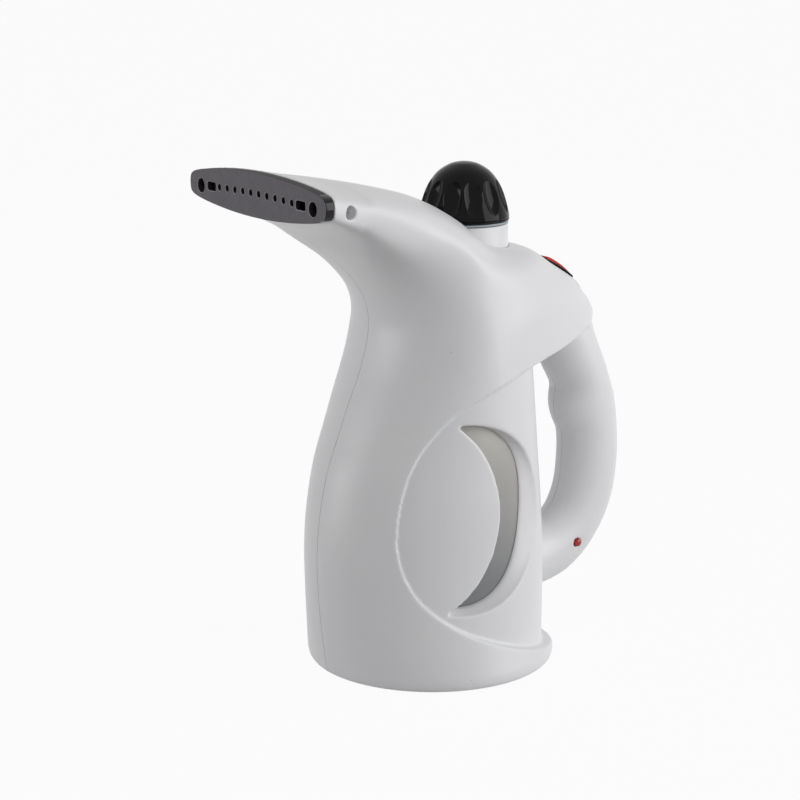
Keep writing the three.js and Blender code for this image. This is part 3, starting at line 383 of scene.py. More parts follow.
# The barrel is the body under the cloak.
BARREL = [
    low_station(front, BARREL_RADIUS - 0.018 * max(0, z - 30) - 0.06 * max(0, z - 60), z, half,
                wide)
    for front, z, half, wide in [
        (BASE_RADIUS - 1.5, SHELL_BOTTOM + 0.6, BASE_RADIUS - 5.2, 0),
        (BELLY_REACH - 2 - STEP, 22, BELLY_HALF + 0.6, 2),
        (BELLY_REACH - 0.7 - STEP, 36, BELLY_HALF - 0.2, 4),
        (BELLY_REACH - STEP, 52, BELLY_HALF - STEP, 5),
        (BELLY_REACH - 0.6 - STEP, 66, BELLY_HALF - 0.4 - STEP, 5),
        (BELLY_REACH - 2.6 - STEP, 80, BELLY_HALF - 0.8 - STEP, 5),
        (BELLY_REACH - 5.8 - STEP, 94, HEAD_HALF + 2.4 - STEP, 5),
        (50.8 - STEP, 107, HEAD_HALF + 1.6 - STEP, 5),
        (45.4 - STEP, 119.5, HEAD_HALF + 0.8 - STEP, 5),
        (41.4 - STEP, 129, HEAD_HALF + 0.2 - STEP, 5),
        (37.4 - STEP, 139.6, HEAD_HALF - 0.4 - STEP, 5),
    ]
]
BARREL_INSIDE = low_station(34, BARREL_RADIUS - 7, 147, HEAD_HALF - 6, 5)

LENS_REACH = 1.46    # how far the nozzle's long curve would run on past its rounded ends
LENS_BLEND = 11      # how sharply it turns into them


def lens_share(s):
    """Half width of the nozzle's outline, as a share, at a share s of its half height."""
    arc = max(LENS_REACH * sqrt(max(0, 1 - s)), 1e-3)
    return (arc ** -LENS_BLEND + 1) ** (-1 / LENS_BLEND)


def station_point(row, turn, inset=0):
    """Point of a station's ring at an angle: 0 at its front, a half turn at its back."""
    fx, fz, bx, bz, half, wide, tail, blunt, under, flat = row
    chord = hypot(bx - fx, bz - fz)
    ux, uz = (bx - fx) / chord, (bz - fz) / chord
    length = chord - 2 * inset
    share = (wide - fx) / (ux * chord) if ux > 0.4 else 0.5
    middle = min(max(share * chord - inset, length * 0.2), length * 0.8)
    s = min(abs(cos(turn)), 1)
    if cos(turn) > 0:
        oval = (1 - s ** under) ** (1 / under)
        along = inset + middle * (1 - s)
    else:
        oval = (1 - s ** tail) ** blunt
        along = inset + middle + s * (length - middle)
    bulge = (1 - flat) * oval + flat * lens_share(s)
    if s > 0.99999:
        bulge = 0
    y = (half - inset) * bulge * (-1 if turn <= pi else 1)
    return Vector((fx + ux * along, y, fz + uz * along))


def skin(stations, inset=0, rows=150, columns=128):
    """Closed skin through a list of stations."""
    knots = run_of(stations, lambda a, b: (hypot(b[0] - a[0], b[1] - a[1])
                                           + hypot(b[2] - a[2], b[3] - a[3])) / 2)
    rings = {}

    def form(u, v):
        key = round(u * rows)
        if key not in rings:
            rings[key] = through(stations, knots, u * knots[-1])
        return station_point(rings[key], v * tau, inset)

    return wrap(form, rows, columns)


# The cloak's edge in the side view: under the hood, round the window and along the foot.
CLOAK_EDGE = [
    (TAIL_REACH + 20, TAIL_HEIGHT + 4), (TAIL_REACH, TAIL_HEIGHT), (70, 145), (52, 142),
    (30, 138.6), (10, 134.2), (-5.4, 128), (-17.5, 121), (-30.9, 105.8), (-38.6, 88), (-41.8, 66),
    (-38.4, 49.4), (-31, 37.6), (-16.5, 26.2), (4, 17.2), (24, LIP_HEIGHT + 7),
    (42, LIP_HEIGHT + 3), (BASE_RADIUS + 2, LIP_HEIGHT + 0.2), (TAIL_REACH + 20, LIP_HEIGHT),
]


def smooth_line(points, steps):
    """Points spaced evenly on a smooth curve through a list of points."""
    knots = run_of(points, lambda a, b: (Vector(b) - Vector(a)).length)
    return [through(points, knots, knots[-1] * i / steps) for i in range(steps + 1)]


def edge_prism(lift=0, steps=150):
    """What lies behind the cloak's edge, raised by a lift."""
    line = [(x, z + lift) for x, z in smooth_line(CLOAK_EDGE, steps)]
    return side_prism(line, -BASE_RADIUS - 10, BASE_RADIUS + 10)


# The grip's middle line in the side view, with half its depth and half its width.
GRIP = [(x, z, GRIP_HALF_DEPTH + depth, GRIP_HALF_WIDTH + width) for x, z, depth, width in [
    (44, 36.6, -1, 0.4), (57, 36.8, -0.8, 0.2), (69.4, 40.6, -0.6, 0),
    (HANDLE_BACK - 9.4, 50.4, -0.9, -0.2), (HANDLE_BACK - 2.5, 64, -0.5, -0.2),
    (HANDLE_BACK - 0.1, 80, -0.5, 0), (HANDLE_BACK - 0.7, 96, -0.5, 0.2),
    (HANDLE_BACK - 4.1, 108.5, 0.9, 0.6), (HANDLE_BACK - 6, 119.5, -1.6, 0.6),
    (HANDLE_BACK - 12.4, 133, -1.2, 0.6), (HANDLE_BACK - 18, 146, -1, 0),
    (HANDLE_BACK - 22, 152, -3, -2),
]]


def grip_skin(inset, rows=90, columns=56):
    """Oval bar along the grip's middle line."""
    knots = run_of(GRIP, lambda a, b: hypot(b[0] - a[0], b[1] - a[1]))

    def form(u, v):
        x, z, depth, width = through(GRIP, knots, u * knots[-1])
        before = through(GRIP, knots, max(0, u - 0.02) * knots[-1])
        after = through(GRIP, knots, min(1, u + 0.02) * knots[-1])
        run = hypot(after[0] - before[0], after[1] - before[1])
        nx, nz = (after[1] - before[1]) / run, (before[0] - after[0]) / run
        out = (depth - inset) * cos(v * tau)
        return Vector((x + nx * out, (width - inset) * sin(v * tau), z + nz * out))

    return wrap(form, rows, columns)


slope_turn = atan2(SWITCH_TO[1] - SWITCH_FROM[1], SWITCH_TO[0] - SWITCH_FROM[0])
ON_SLOPE = (Matrix.Translation(((SWITCH_FROM[0] + SWITCH_TO[0]) / 2, 0,
                                (SWITCH_FROM[1] + SWITCH_TO[1]) / 2))
            @ Matrix.Rotation(-slope_turn, 4, "Y"))


def on_slope(bm):
    """Moves a shape built round the origin, +Z out of the slope and +X down it, to the switch."""
    bmesh.ops.transform(bm, matrix=ON_SLOPE, verts=bm.verts)
    return bm


def slab(length, width, z0, z1, corner=1.5, shift=0):
    """A flat block with rounded corners."""
    a, b = length / 2 - corner, width / 2 - corner
    points = []
    for cx, cy, start in [(a, -b, -90), (a, b, 0), (-a, b, 90), (-a, -b, 180)]:
        for i in range(9):
            turn = radians(start + i * 90 / 8)
            points.append((shift + cx + corner * cos(turn), cy + corner * sin(turn), z0))
    return outline_prism(points, (0, 0, z1 - z0))


def switch_collar():
    """Raised collar round the switch, which runs out down the slope."""
    end = SWITCH_LENGTH / 2
    line = smooth_line([(-end - 3.5, -1.4), (-end - 1.2, BEZEL_EDGE - 1.4),
                        (-end / 2, BEZEL_CROWN - 1.6), (0, BEZEL_CROWN - 1.5),
                        (end / 2, BEZEL_CROWN - 1.5), (end + 0.6, BEZEL_EDGE - 1.1),
                        (end + 2.9, 0.9), (end + 5.1, 0.1),
                        (end + 6.6, -1.4), (end + 7.4, -3.4)], 40)
    line += [(end + 8, -9), (-end - 6, -9)]
    wide = SWITCH_WIDTH + 3.6
    collar = to_object(slab(SWITCH_LENGTH + 10.6, wide, -9, 5, 6.5, 2.7))
    combine(collar, "INTERSECT", side_prism(line, -wide, wide))
    collar.data.transform(ON_SLOPE)
    return collar


# The crescent window lies between two arcs of the side view: middle x, middle z and radius.
CRESCENT_OUTER = (-12.5, 75, 42)
CRESCENT_INNER = (-45.5, 78.1, 49.2)


def outer_arc(lean, turn, margin):
    """Point of the window's outer arc. A lean draws it in: most beside the tank, least overhead."""
    share = 0.1 * (1 - sin(turn)) + 0.9 * max(0, cos(turn + 0.09)) ** 2
    reach = CRESCENT_OUTER[2] + margin - lean * share
    return Vector((CRESCENT_OUTER[0] + reach * cos(turn),
                   CRESCENT_OUTER[1] + reach * sin(turn)))


@cache
def crescent_tips(lean, margin):
    """Turns on the outer and on the inner arc at which they meet, at the top and at the bottom."""
    tips = []
    for outside, inside in ((60, 140), (-60, -150)):
        near, far = radians(outside), radians(inside)
        for _ in range(30):
            turn = (near + far) / 2
            spoke = outer_arc(lean, turn, margin) - Vector(CRESCENT_INNER[:2])
            if spoke.length > CRESCENT_INNER[2] - margin:
                near = turn
            else:
                far = turn
        tips.append((turn, atan2(spoke.y, spoke.x)))
    return tips


def crescent_point(lean, v, margin=0):
    """Point of the crescent's outline, grown by a margin, with its outer arc leaning inwards.
    v runs once round."""
    (top, inner_top), (bottom, inner_bottom) = crescent_tips(lean, margin)
    if v < 0.5:
        return tuple(outer_arc(lean, bottom + (top - bottom) * 2 * v, margin))
    turn = inner_top + (inner_bottom - inner_top) * (2 * v - 1)
    radius = CRESCENT_INNER[2] - margin
    return (CRESCENT_INNER[0] + radius * cos(turn),
            CRESCENT_INNER[1] + radius * sin(turn))


# How far the window's outer arc leans in, at depths under the barrel's skin.
WINDOW_LEAN = [(-9, -1), (-1, -0.6), (0.2, 0.2), (1.1, 1.4), (2.2, 3.6), (3.2, 6.2), (4.2, 9),
               (5, 10.6), (5.8, 11.1), (16, 11.3)]


def barrel_side(x, z):
    """How far out the barrel's skin is at a place in the side view."""
    row = through(BARREL, [station_row[1] for station_row in BARREL], z)
    fx, _, bx, _, half, wide = row[:6]
    reach = bx - wide if x > wide else wide - fx
    return half * sqrt(max(0, 1 - ((x - wide) / reach) ** 2))


def window_hollow(side):
    """Hollow of the crescent window, whose outer wall is a soft cove down to the tank."""
    rows = len(WINDOW_LEAN) - 1

    def form(u, v):
        depth, lean = WINDOW_LEAN[round(u * rows)]
        x, z = crescent_point(lean, v)
        return Vector((x, side * (barrel_side(x, z) - depth), z))

    return wrap(form, rows, 160)


# Place in the side view of the screws that hold the shells, and how far out their heads are.
SHELL_SCREWS = [
    (HANDLE_BACK - 2, 72, GRIP_HALF_WIDTH), (HANDLE_BACK - 5.5, 114, GRIP_HALF_WIDTH + 0.6),
    (64, 33.5, GRIP_HALF_WIDTH),
]


def inlet_point(r):
    """Point on the cord inlet's axis, at a distance from the barrel's middle."""
    return Vector((cos(INLET_TURN) * r, sin(INLET_TURN) * r, INLET_HEIGHT))


def clip_bars(outside, inside, radius):
    """A bar on the axis of each clip hole, between two distances from the middle."""
    x, z = CLIP_HOLE
    return [cylinder((x, side * outside, z), (x, side * inside, z), radius) for side in (-1, 1)]


def body_holes():
    """Every bore that opens the body from outside."""
    return [
        cylinder((NECK_X, 0, 160), (NECK_X, 0, ABOVE), NECK_RADIUS + NECK_GAP, 160),
        cylinder((NECK_X, 0, NECK_TOP - 1.2), (NECK_X, 0, ABOVE), CAP_CLEARANCE, 160),
        on_slope(slab(SWITCH_LENGTH + 0.5, SWITCH_WIDTH + 0.5, BEZEL_SEAT, 12, 2)),
        on_slope(slab(SWITCH_LENGTH - 1.6, SWITCH_WIDTH - 1.6, -SWITCH_DEPTH - 5, 10)),
        cylinder((LAMP_X, -30, LAMP_Z), (LAMP_X, -5, LAMP_Z), LAMP_RADIUS + 0.15),
        cylinder(inlet_point(40), inlet_point(70), INLET_RADIUS + 0.2),
        *clip_bars(70, NOZZLE_HALF - 5 - CLIP_HOLE_DEPTH, CLIP_HOLE_RADIUS),
        *[cylinder((x, half * 0.6, z), (x, 60, z), SCREW_HEAD + FIT)
          for x, z, half in SHELL_SCREWS],
    ]


def solid_body():
    """The body's outside as one solid, with its openings, made even and soft at the edges."""
    body = to_object(skin(BARREL, 0, 90, 128))
    cloak = cut(skin(CLOAK), edge_prism())
    grip = cut(grip_skin(0), block((0, -20, 0), (BARREL_RADIUS - 6, 20, 80)))
    join(body, cloak, grip, switch_collar())
    cut(body, window_hollow(-1), window_hollow(1), *body_holes())
    return soften(body, BODY_GRAIN, 16)


# Height, radius and middle of the tank, which narrows and moves back towards the neck.
TANK_ROWS = [(z, TANK_RADIUS - less, TANK_X + back) for z, less, back in [
    (tank_low.z, 0, 0), (62, 0, 0), (80, 0.3, -0.4), (100, 1, -1), (112, 2.2, -0.8),
    (121, 4.4, 0.6), (132, 8.4, 3.4), (144, 14, 7.6), (154, 20.4, 11),
]] + [(z, NECK_RADIUS - 2.6, NECK_X) for z in (161, tank_high.z)]
STEAM_PORT = (Vector((-6, 0, 142)), Vector((-21.5, 0, 161.5)))
PORT_RADIUS = 3.7
PLATE_OPENING = 26   # radius of the tank's mouth over the heating plate


def vessel(inset, lift=0):
    """The tank's form, drawn in by its wall for the inside."""
    knots = [row[0] for row in TANK_ROWS]

    def form(u, v):
        z = knots[0] + u * (knots[-1] - knots[0])
        _, radius, x = through(TANK_ROWS, knots, z)
        z = max(z, knots[0] + lift) if u < 0.9 else z + lift * 2 * (u > 0.999)
        turn = v * tau
        return Vector((x + (radius - inset) * cos(turn), (radius - inset) * sin(turn), z))

    return wrap(form, 72, 128)


def window_rim(side):
    """Wall that leads from the window in to the tank."""
    def form(u, v):
        x, z = crescent_point(0, v, WALL * 0.7)
        return Vector((x, side * (29.5 + 19 * u), z))

    below = cylinder((TANK_X, 0, 0), (TANK_X, 0, tank_low.z + 2), TANK_RADIUS + RIM_GAP, 96)
    return cut(wrap(form, 1, 96), vessel(-RIM_GAP), below)


HEAD_FROM = 11   # the cloak's first ring whose inside is hollowed with the head


def hollow():
    """Inside of the body, less the walls and bosses that stand in it."""
    end = list(CLOAK[-1])
    end[0] = end[2] = -NOZZLE_REACH - 5
    head = cut(skin(CLOAK[HEAD_FROM:] + [tuple(end)], WALL, 60, 64), edge_prism(WALL, 60),
               block((-70, -60, 90), (TAIL_REACH, 60, 124)),
               block((TAIL_REACH - 9, -60, 90), (TAIL_REACH + 9, 60, 175)))
    barrel = cut(skin(BARREL[1:] + [BARREL_INSIDE], WALL, 40, 64),
                 block((-70, -70, 0), (70, 70, 16)))
    foot = cylinder((0, 0, -2), (0, 0, 24), COVER_RADIUS + FIT, 96)
    inside = join(head, barrel, foot, grip_skin(WALL, 40, 32))
    cut(inside, window_rim(-1), window_rim(1),
        on_slope(slab(SWITCH_LENGTH + 4, SWITCH_WIDTH + 4, BEZEL_SEAT - 3, BEZEL_SEAT)),
        *clip_bars(60, NOZZLE_HALF - 13, CLIP_HOLE_RADIUS + 1.6))
    return join(inside, *body_holes())


def shell(side, solid, inside):
    """One half of the body: side -1 is the one with the lamp."""
    middle, beyond = sorted((side * SPLIT, side * AROUND))
    half = scene_object("work", solid.data.copy())
    combine(half, "INTERSECT", block((-120, middle, -5), (130, beyond, 260)))
    return cut(half, scene_object("work", inside.data.copy()))


def finish_piece(piece, body, slot, node, crease=38):
    """Brings the piece that replaces a CAD node to metres and fixes it to the frame."""
    if isinstance(piece, bmesh.types.BMesh):
        piece = to_object(piece)
    piece.name = piece.data.name = "fine_" + node
    piece.data.transform(Matrix.Scale(MM, 4))
    piece.data.shade_smooth()
    piece.data.set_sharp_from_angle(angle=radians(crease))
    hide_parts(node)
    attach(piece, body)
    piece.data.materials.clear()
    piece.data.materials.append(FINISH[slot])
    return piece


# ---------------- finishes


def colour(code):
    """An sRGB colour such as "#c0c0c4" as linear red, green, blue and alpha."""
    parts = [int(code[i:i + 2], 16) / 255 for i in (1, 3, 5)]
    return [p / 12.92 if p <= 0.04045 else ((p + 0.055) / 1.055) ** 2.4 for p in parts] + [1]


def per(length):
    """Pattern scale for features of a length in millimetres on Object coordinates."""
    return 1 / (length * MM)


def fill(node, inputs):
    """Sets a node's inputs: each is a socket to link from, or the value to set."""
    for key, value in inputs.items():
        if isinstance(value, bpy.types.NodeSocket):
            node.id_data.links.new(value, node.inputs[key])
        else:
            node.inputs[key].default_value = value


def add(tree, kind, inputs, **settings):
    """Adds a shader node with its settings and its inputs."""
    node = tree.nodes.new("ShaderNode" + kind)
    for key, value in settings.items():
        setattr(node, key, value)
    fill(node, inputs)
    return node


def new_tree(holder):
    """The empty node tree of a material or a world."""
    holder.use_nodes = True
    holder.node_tree.nodes.clear()
    return holder.node_tree


MIX = dict(data_type="RGBA")   # a Mix node takes its share at input 0 and its colours at 6 and 7


def finish(name, low, high, drift, sockets, relief=None, haze=None, over=None):
    """A material whose colour drifts between two tones: drift is (size, detail), with sizes in
    millimetres. The sockets are the shader's uniform values. Relief is the fine bump as (size,
    detail, strength, height), haze the roughness as (size, detail, least, most), and over a
    function that lays more on the tone and returns the shader sockets to link."""
    material = bpy.data.materials.new(name)
    tree = new_tree(material)
    shader = add(tree, "BsdfPrincipled", sockets)
    add(tree, "OutputMaterial", {"Surface": shader.outputs["BSDF"]})
    place = add(tree, "TexCoord", {}).outputs["Object"]

    def noise(size, detail, gain=0.5):
        return add(tree, "TexNoise", {"Vector": place, "Scale": per(size),
                                      "Detail": detail, "Roughness": gain}).outputs[0]

    tone = add(tree, "Mix", {0: noise(*drift), 6: colour(low), 7: colour(high)},
               **MIX).outputs[2]
    fill(shader, over(tree, place, tone) if over else {"Base Color": tone})
    if haze:
        rough = add(tree, "MapRange", {"Value": noise(*haze[:2]), "To Min": haze[2],
                                       "To Max": haze[3]})
        fill(shader, {"Roughness": rough.outputs[0]})
    if relief:
        bump = add(tree, "Bump", {"Height": noise(*relief[:2]), "Strength": relief[2],
                                  "Distance": relief[3] * MM})
        fill(shader, {"Normal": bump.outputs[0]})
    return material


def resin_specks(tree, place, white):
    """Stray grey and reddish specks of old resin in the white, one in some cells of a pattern."""
    cells = add(tree, "TexVoronoi", {"Vector": place, "Scale": per(7.5)})
    dots = add(tree, "MapRange", {"Value": cells.outputs["Distance"], "From Min": 0.035,
                                  "From Max": 0.065, "To Min": 1.0, "To Max": 0.0})
    cast = add(tree, "SeparateColor", {"Color": cells.outputs["Color"]}).outputs
    few = add(tree, "Math", {0: cast["Red"], 1: 0.72}, operation="GREATER_THAN")
    share = dots.outputs[0]
    for other in (few.outputs[0], 0.34):
        share = add(tree, "Math", {0: share, 1: other}, operation="MULTIPLY").outputs[0]
    speck = add(tree, "Mix", {0: cast["Green"], 6: colour("#8f8a90"),
                              7: colour("#b8837f")}, **MIX)
    mixed = add(tree, "Mix", {0: share, 6: white, 7: speck.outputs[2]}, **MIX)
    return {"Base Color": mixed.outputs[2]}


def tank_foot_painted_shade(tree, place, clear):
    """Painted shade: colour laid on the tank that turns greyer towards its foot and clears on the way
    up.
    """
    height = add(tree, "SeparateXYZ", {"Vector": place}).outputs["Z"]
    shade_share = add(tree, "MapRange", {"Value": height, "From Min": 45 * MM,
                                  "From Max": 108 * MM, "To Min": 1.0, "To Max": 0.0})
    tint = add(tree, "Mix", {0: shade_share.outputs[0], 6: clear, 7: colour("#97999b")}, **MIX)
    return {"Base Color": tint.outputs[2]}


def gloss_plastic(name, low, high, roughness, ior=1.52):
    """Gloss moulding in one colour: a faint cloud in the colour, handling haze in the gloss."""
    return finish(name, low, high, (9, 3), {"IOR": ior}, (1.6, 2, 0.2, 0.012),
                  (5, 4, roughness * 0.75, roughness * 1.35))


def textured_plastic(name, low, high, roughness, grain, depth):
    """Moulding off a spark-eroded tool: a fine even grain that scatters the light."""
    return finish(name, low, high, (6, 4), {"Roughness": roughness}, (grain, 3, 0.5, depth))


def rubber(name, low, high, roughness):
    """Moulded rubber: a soft broad sheen over a fine matt grain."""
    return finish(name, low, high, (3, 5), {"Roughness": roughness}, (0.5, 2, 0.4, 0.03))


def bare_metal(name, low, high, roughness, grain, depth):
    """Metal with its own skin: mottled tone and gloss, and the pits of casting or plating."""
    return finish(name, low, high, (3.5, 5), {"Metallic": 1.0}, (grain, 4, 0.4, depth),
                  (3.5, 5, roughness * 0.8, roughness * 1.3))


def face_and_sides(tree, place, grey):
    """The nozzle plate's face is spark-eroded and reads as flat mid grey with darker flecks. Its
    sides come off a polished tool and look black and wet."""
    depth = add(tree, "SeparateXYZ", {"Vector": place}).outputs["X"]
    face = add(tree, "MapRange", {"Value": depth,
                                  "From Min": (plate_low.x + 0.12) * MM,
                                  "From Max": (plate_low.x + 0.34) * MM,
                                  "To Min": 1.0, "To Max": 0.0}).outputs[0]
    flecks = add(tree, "TexNoise", {"Vector": place, "Scale": per(0.8), "Detail": 4.0})
    dark = add(tree, "MapRange", {"Value": flecks.outputs[0], "From Min": 0.66,
                                  "From Max": 0.74, "To Max": 0.5})
    grey = add(tree, "Mix", {0: dark.outputs[0], 6: grey, 7: colour("#3e3b40")}, **MIX)
    both = add(tree, "Mix", {0: face, 6: colour("#0c0c0d"), 7: grey.outputs[2]}, **MIX)
    rough = add(tree, "MapRange", {"Value": face, "To Min": 0.12, "To Max": 0.62})
    return {"Base Color": both.outputs[2], "Roughness": rough.outputs[0]}


FINISH = {
    # White moulding off a polished tool: a clear gloss with the slow waviness of a cooled skin.
    "white_plastic": finish("gloss_white_abs", "#dedee1", "#e4e4e5", (55, 2), {"IOR": 1.54},
                            (2.4, 2, 0.25, 0.02), (22, 3, 0.34, 0.44), resin_specks),
    "black_gloss": gloss_plastic("gloss_black_abs", "#060606", "#0b0b0c", 0.07, 1.22),
    "black_matte": textured_plastic("black_nylon", "#1c1c1e", "#262628", 0.55, 0.7, 0.04),
    # Glass-filled heat-resistant plastic: mid grey with faint flow stains, black at its sides.
    "nozzle_grey": finish("nozzle_glass_filled", "#545156", "#706d72", (4.5, 6, 0.65),
                          {"IOR": 1.35}, (0.8, 4, 0.35, 0.05), over=face_and_sides),
    # Tinted clear plastic over a lamp: deep red with a bright gloss.
    "red_plastic": finish("clear_red_acrylic", "#a8191a", "#b92722", (4, 2),
                          {"Roughness": 0.12, "IOR": 1.49, "Transmission Weight": 0.15},
                          (1.5, 2, 0.2, 0.01)),
    # Natural plastic with a smoke tint: cloudy, warm white, lets light through and blurs it. Painted
    # greyer towards its foot, as painted shade.
    "tank_plastic": finish("smoke_polypropylene", "#cdcac4", "#dad7d1", (18, 3),
                           {"Roughness": 0.3, "IOR": 1.49, "Transmission Weight": 0.35},
                           (6, 2, 0.2, 0.05), over=tank_foot_painted_shade),
    "washer_rubber": rubber("pale_nitrile", "#8f999f", "#9ea7ac", 0.45),
    "silicone": rubber("natural_silicone", "#c6c0b6", "#d6d1c8", 0.5),
    "black_rubber": rubber("black_rubber", "#1a1a1b", "#252526", 0.6),
    "cast_alloy": bare_metal("die_cast_aluminium", "#a3a5a8", "#bdbfc1", 0.42, 0.9, 0.05),
    "steel": bare_metal("zinc_plated_steel", "#a9abae", "#c4c6c9", 0.36, 0.6, 0.015),
    "ceramic": textured_plastic("steatite_ceramic", "#d8d2c4", "#e6e1d5", 0.7, 0.9, 0.04),
    # Clear glass of a small lamp, with a warm cast from its gas.
    "neon_glass": finish("neon_lamp_glass", "#f6dccb", "#fbeee2", (4, 2),
                         {"Roughness": 0.05, "IOR": 1.5, "Transmission Weight": 0.9}),
    "wire_red": gloss_plastic("red_wire_cover", "#8f231d", "#a52d25", 0.4),
    "wire_blue": gloss_plastic("blue_wire_cover", "#1f4684", "#2a5596", 0.4),
}

# ---------------- body shells

solid, inside = thin_out(solid_body(), BODY_SHARE), hollow()
for side, node in ((-1, "left_shell"), (1, "right_shell")):
    finish_piece(shell(side, solid, inside), "root", "white_plastic", node)
for work in (solid, inside):
    bpy.data.objects.remove(work)

# ---------------- filler neck, washer and cap


def thread_ridge(root, tip, low):
    """Screw thread: a rounded ridge on a cylinder about the neck's axis, fading at both ends."""
    steps = round(THREAD_TURNS * 40)

    def form(u, v):
        angle = u * THREAD_TURNS * tau
        rise = min(1, 8 * u, 8 * (1 - u)) ** 0.5
        out = (1 - cos(v * tau)) / 2 * max(rise, 0.02)
        across = sin(v * tau) * RIDGE_WIDTH / 2
        r = root + (tip - root) * out
        return Vector((NECK_X + r * cos(angle), r * sin(angle),
                       low + THREAD_PITCH * THREAD_TURNS * u + across))

    return wrap(form, steps, 10)


AT_NECK = Matrix.Translation((NECK_X, 0, 0))


def filler_neck():
    """Moulded neck with a soft rim, a seating flange and an inner thread."""
    low, rim = neck_low.z, NECK_RADIUS - 2.6
    profile = eased([(BORE_RADIUS, low + 1), (BORE_RADIUS, NECK_TOP), (NECK_RADIUS, NECK_TOP),
                     (NECK_RADIUS, low + 3), (NECK_RADIUS + NECK_FLANGE, low + 3),
                     (NECK_RADIUS + NECK_FLANGE, low), (rim, low), (rim, low + 1)], 0.45)
    return join(spun(profile, 144, place=AT_NECK),
                thread_ridge(BORE_RADIUS + 0.3, BORE_RADIUS - 1.3, THREAD_START))


def cap_washer():
    outer, inner = washer_high.x - NECK_X, BORE_RADIUS
    profile = eased([(inner, washer_low.z), (outer, washer_low.z), (outer, washer_high.z),
                     (inner, washer_high.z)], 0.35)
    return spun(profile, 128, place=AT_NECK)


CAP_BOTTOM = washer_high.z + FIT
CAP_RADIUS = cap_high.y
CAP_HEIGHT = cap_high.z - CAP_BOTTOM
FLUTES = 12
FLUTE_TURN = 0.25    # how far round the first one is, as a share of their spacing
FLUTE_SIZE = (3.5, 5.1, 10.2)   # half its depth, half its width and half its length
SPIGOT_WALL = 2.2
# The dome's profile from its foot up, in shares of the cap's radius and height.
CAP_DOME = [(1.0, 0.03), (0.982, 0.13), (0.915, 0.33), (0.83, 0.52), (0.715, 0.69), (0.55, 0.84),
            (0.31, 0.955), (0.14, 0.991), (0.0, 1.0)]


def filler_cap():
    """Domed screw cap with finger flutes, hollow underneath, on a threaded spigot."""
    r, h = CAP_RADIUS, CAP_HEIGHT
    dome = smooth_line([(share * r, CAP_BOTTOM + up * h) for share, up in CAP_DOME], 60)
    dome[-1] = (0, CAP_BOTTOM + h)
    foot = eased([(0, CAP_BOTTOM - 1), (0, CAP_BOTTOM), (r - 0.1, CAP_BOTTOM), dome[0]], 0.4)
    foot = [p for p in foot if p[0] > r / 2]
    core, low = BORE_RADIUS - 1.7, cap_low.z
    bore = core - SPIGOT_WALL
    spigot = spun(eased([(bore, low), (core, low), (core, CAP_BOTTOM + 1),
                         (bore, CAP_BOTTOM + 1)], 0.3), 96, place=AT_NECK)
    cap = join(spun([(0, CAP_BOTTOM)] + foot + dome[1:], 192, closed=False, place=AT_NECK),
               spigot, thread_ridge(core - 0.3, BORE_RADIUS - 0.4, THREAD_START + THREAD_PITCH / 2))
    room = spun([(0, low - 1), (bore, low - 1), (bore, CAP_BOTTOM + 6),
                 (6, CAP_BOTTOM + 0.7 * h), (0, CAP_BOTTOM + 0.72 * h)], 96, closed=False,
                place=AT_NECK)
    flutes = []
    for i in range(FLUTES):
        bm = bmesh.new()
        bmesh.ops.create_uvsphere(bm, u_segments=48, v_segments=32, radius=1)
        shape = (Matrix.Translation((NECK_X, 0, CAP_BOTTOM))
                 @ Matrix.Rotation((i + FLUTE_TURN) / FLUTES * tau, 4, "Z")
                 @ Matrix.Translation((r * 0.936, 0, 0.46 * h))
                 @ Matrix.Rotation(radians(-20), 4, "Y")
                 @ Matrix.Diagonal((*FLUTE_SIZE, 1)))
        bmesh.ops.transform(bm, matrix=shape, verts=bm.verts)
        flutes.append(bm)
    return cut(cap, room, *flutes)


finish_piece(filler_neck(), "root", "white_plastic", "filler_neck")
finish_piece(cap_washer(), "cap_washer", "washer_rubber", "cap_washer")
finish_piece(filler_cap(), "cap", "black_gloss", "filler_cap", crease=24)

# ---------------- water tank


def water_tank():
    """Blow-moulded vessel with a steam port, open at the top and over the heating plate."""
    foot, tip = STEAM_PORT
    tank = join(vessel(0), cylinder(foot, tip, PORT_RADIUS, 40))
    return cut(tank, vessel(TANK_WALL, TANK_WALL),
               cylinder((TANK_X, 0, 20), (TANK_X, 0, tank_low.z + 5), PLATE_OPENING, 96),
               cylinder(foot, tip + (tip - foot), PORT_RADIUS - 1.2, 32))


finish_piece(water_tank(), "root", "tank_plastic", "water_tank")

# ---------------- nozzle plate

PLATE_BACK = -NOZZLE_REACH - FIT
PLATE_FRONT = plate_low.x
JETS, JET_PITCH, JET_RADIUS = 10, 6.6, 1.45
SLOT_AT = (JETS - 1) / 2 * JET_PITCH + 6.8   # the slots and the ports lie outside the jets
PORT_AT = SLOT_AT + 9.3
PORT_HOLE = 3.1
RIM_CHAMFER = 0.3
SLOT = (7.5, 3.8, 1.3)   # length, height and corner radius


def row_height(y):
    """Height of the row of holes, which bows up a little in the middle."""
    return NOZZLE_HEIGHT + 1.4 * (1 - (y / PORT_AT) ** 2) - 0.7


def plate_room(place):
    """How far inside the plate's outline a point is."""
    share = min(1, abs(place.z - NOZZLE_HEIGHT) / (NOZZLE_TOP - NOZZLE_HEIGHT))
    return NOZZLE_HALF * lens_share(share) - abs(place.y)


def plate_block(layers):
    """A block with the nozzle's outline, from a list of (x, inset)."""
    def form(u, v):
        x, inset = layers[round(u * (len(layers) - 1))]
        row = station((x, NOZZLE_LOW), (x, NOZZLE_TOP), NOZZLE_HALF, x, flat=1)
        return station_point(row, v * tau, inset)

    return wrap(form, len(layers) - 1, 256)


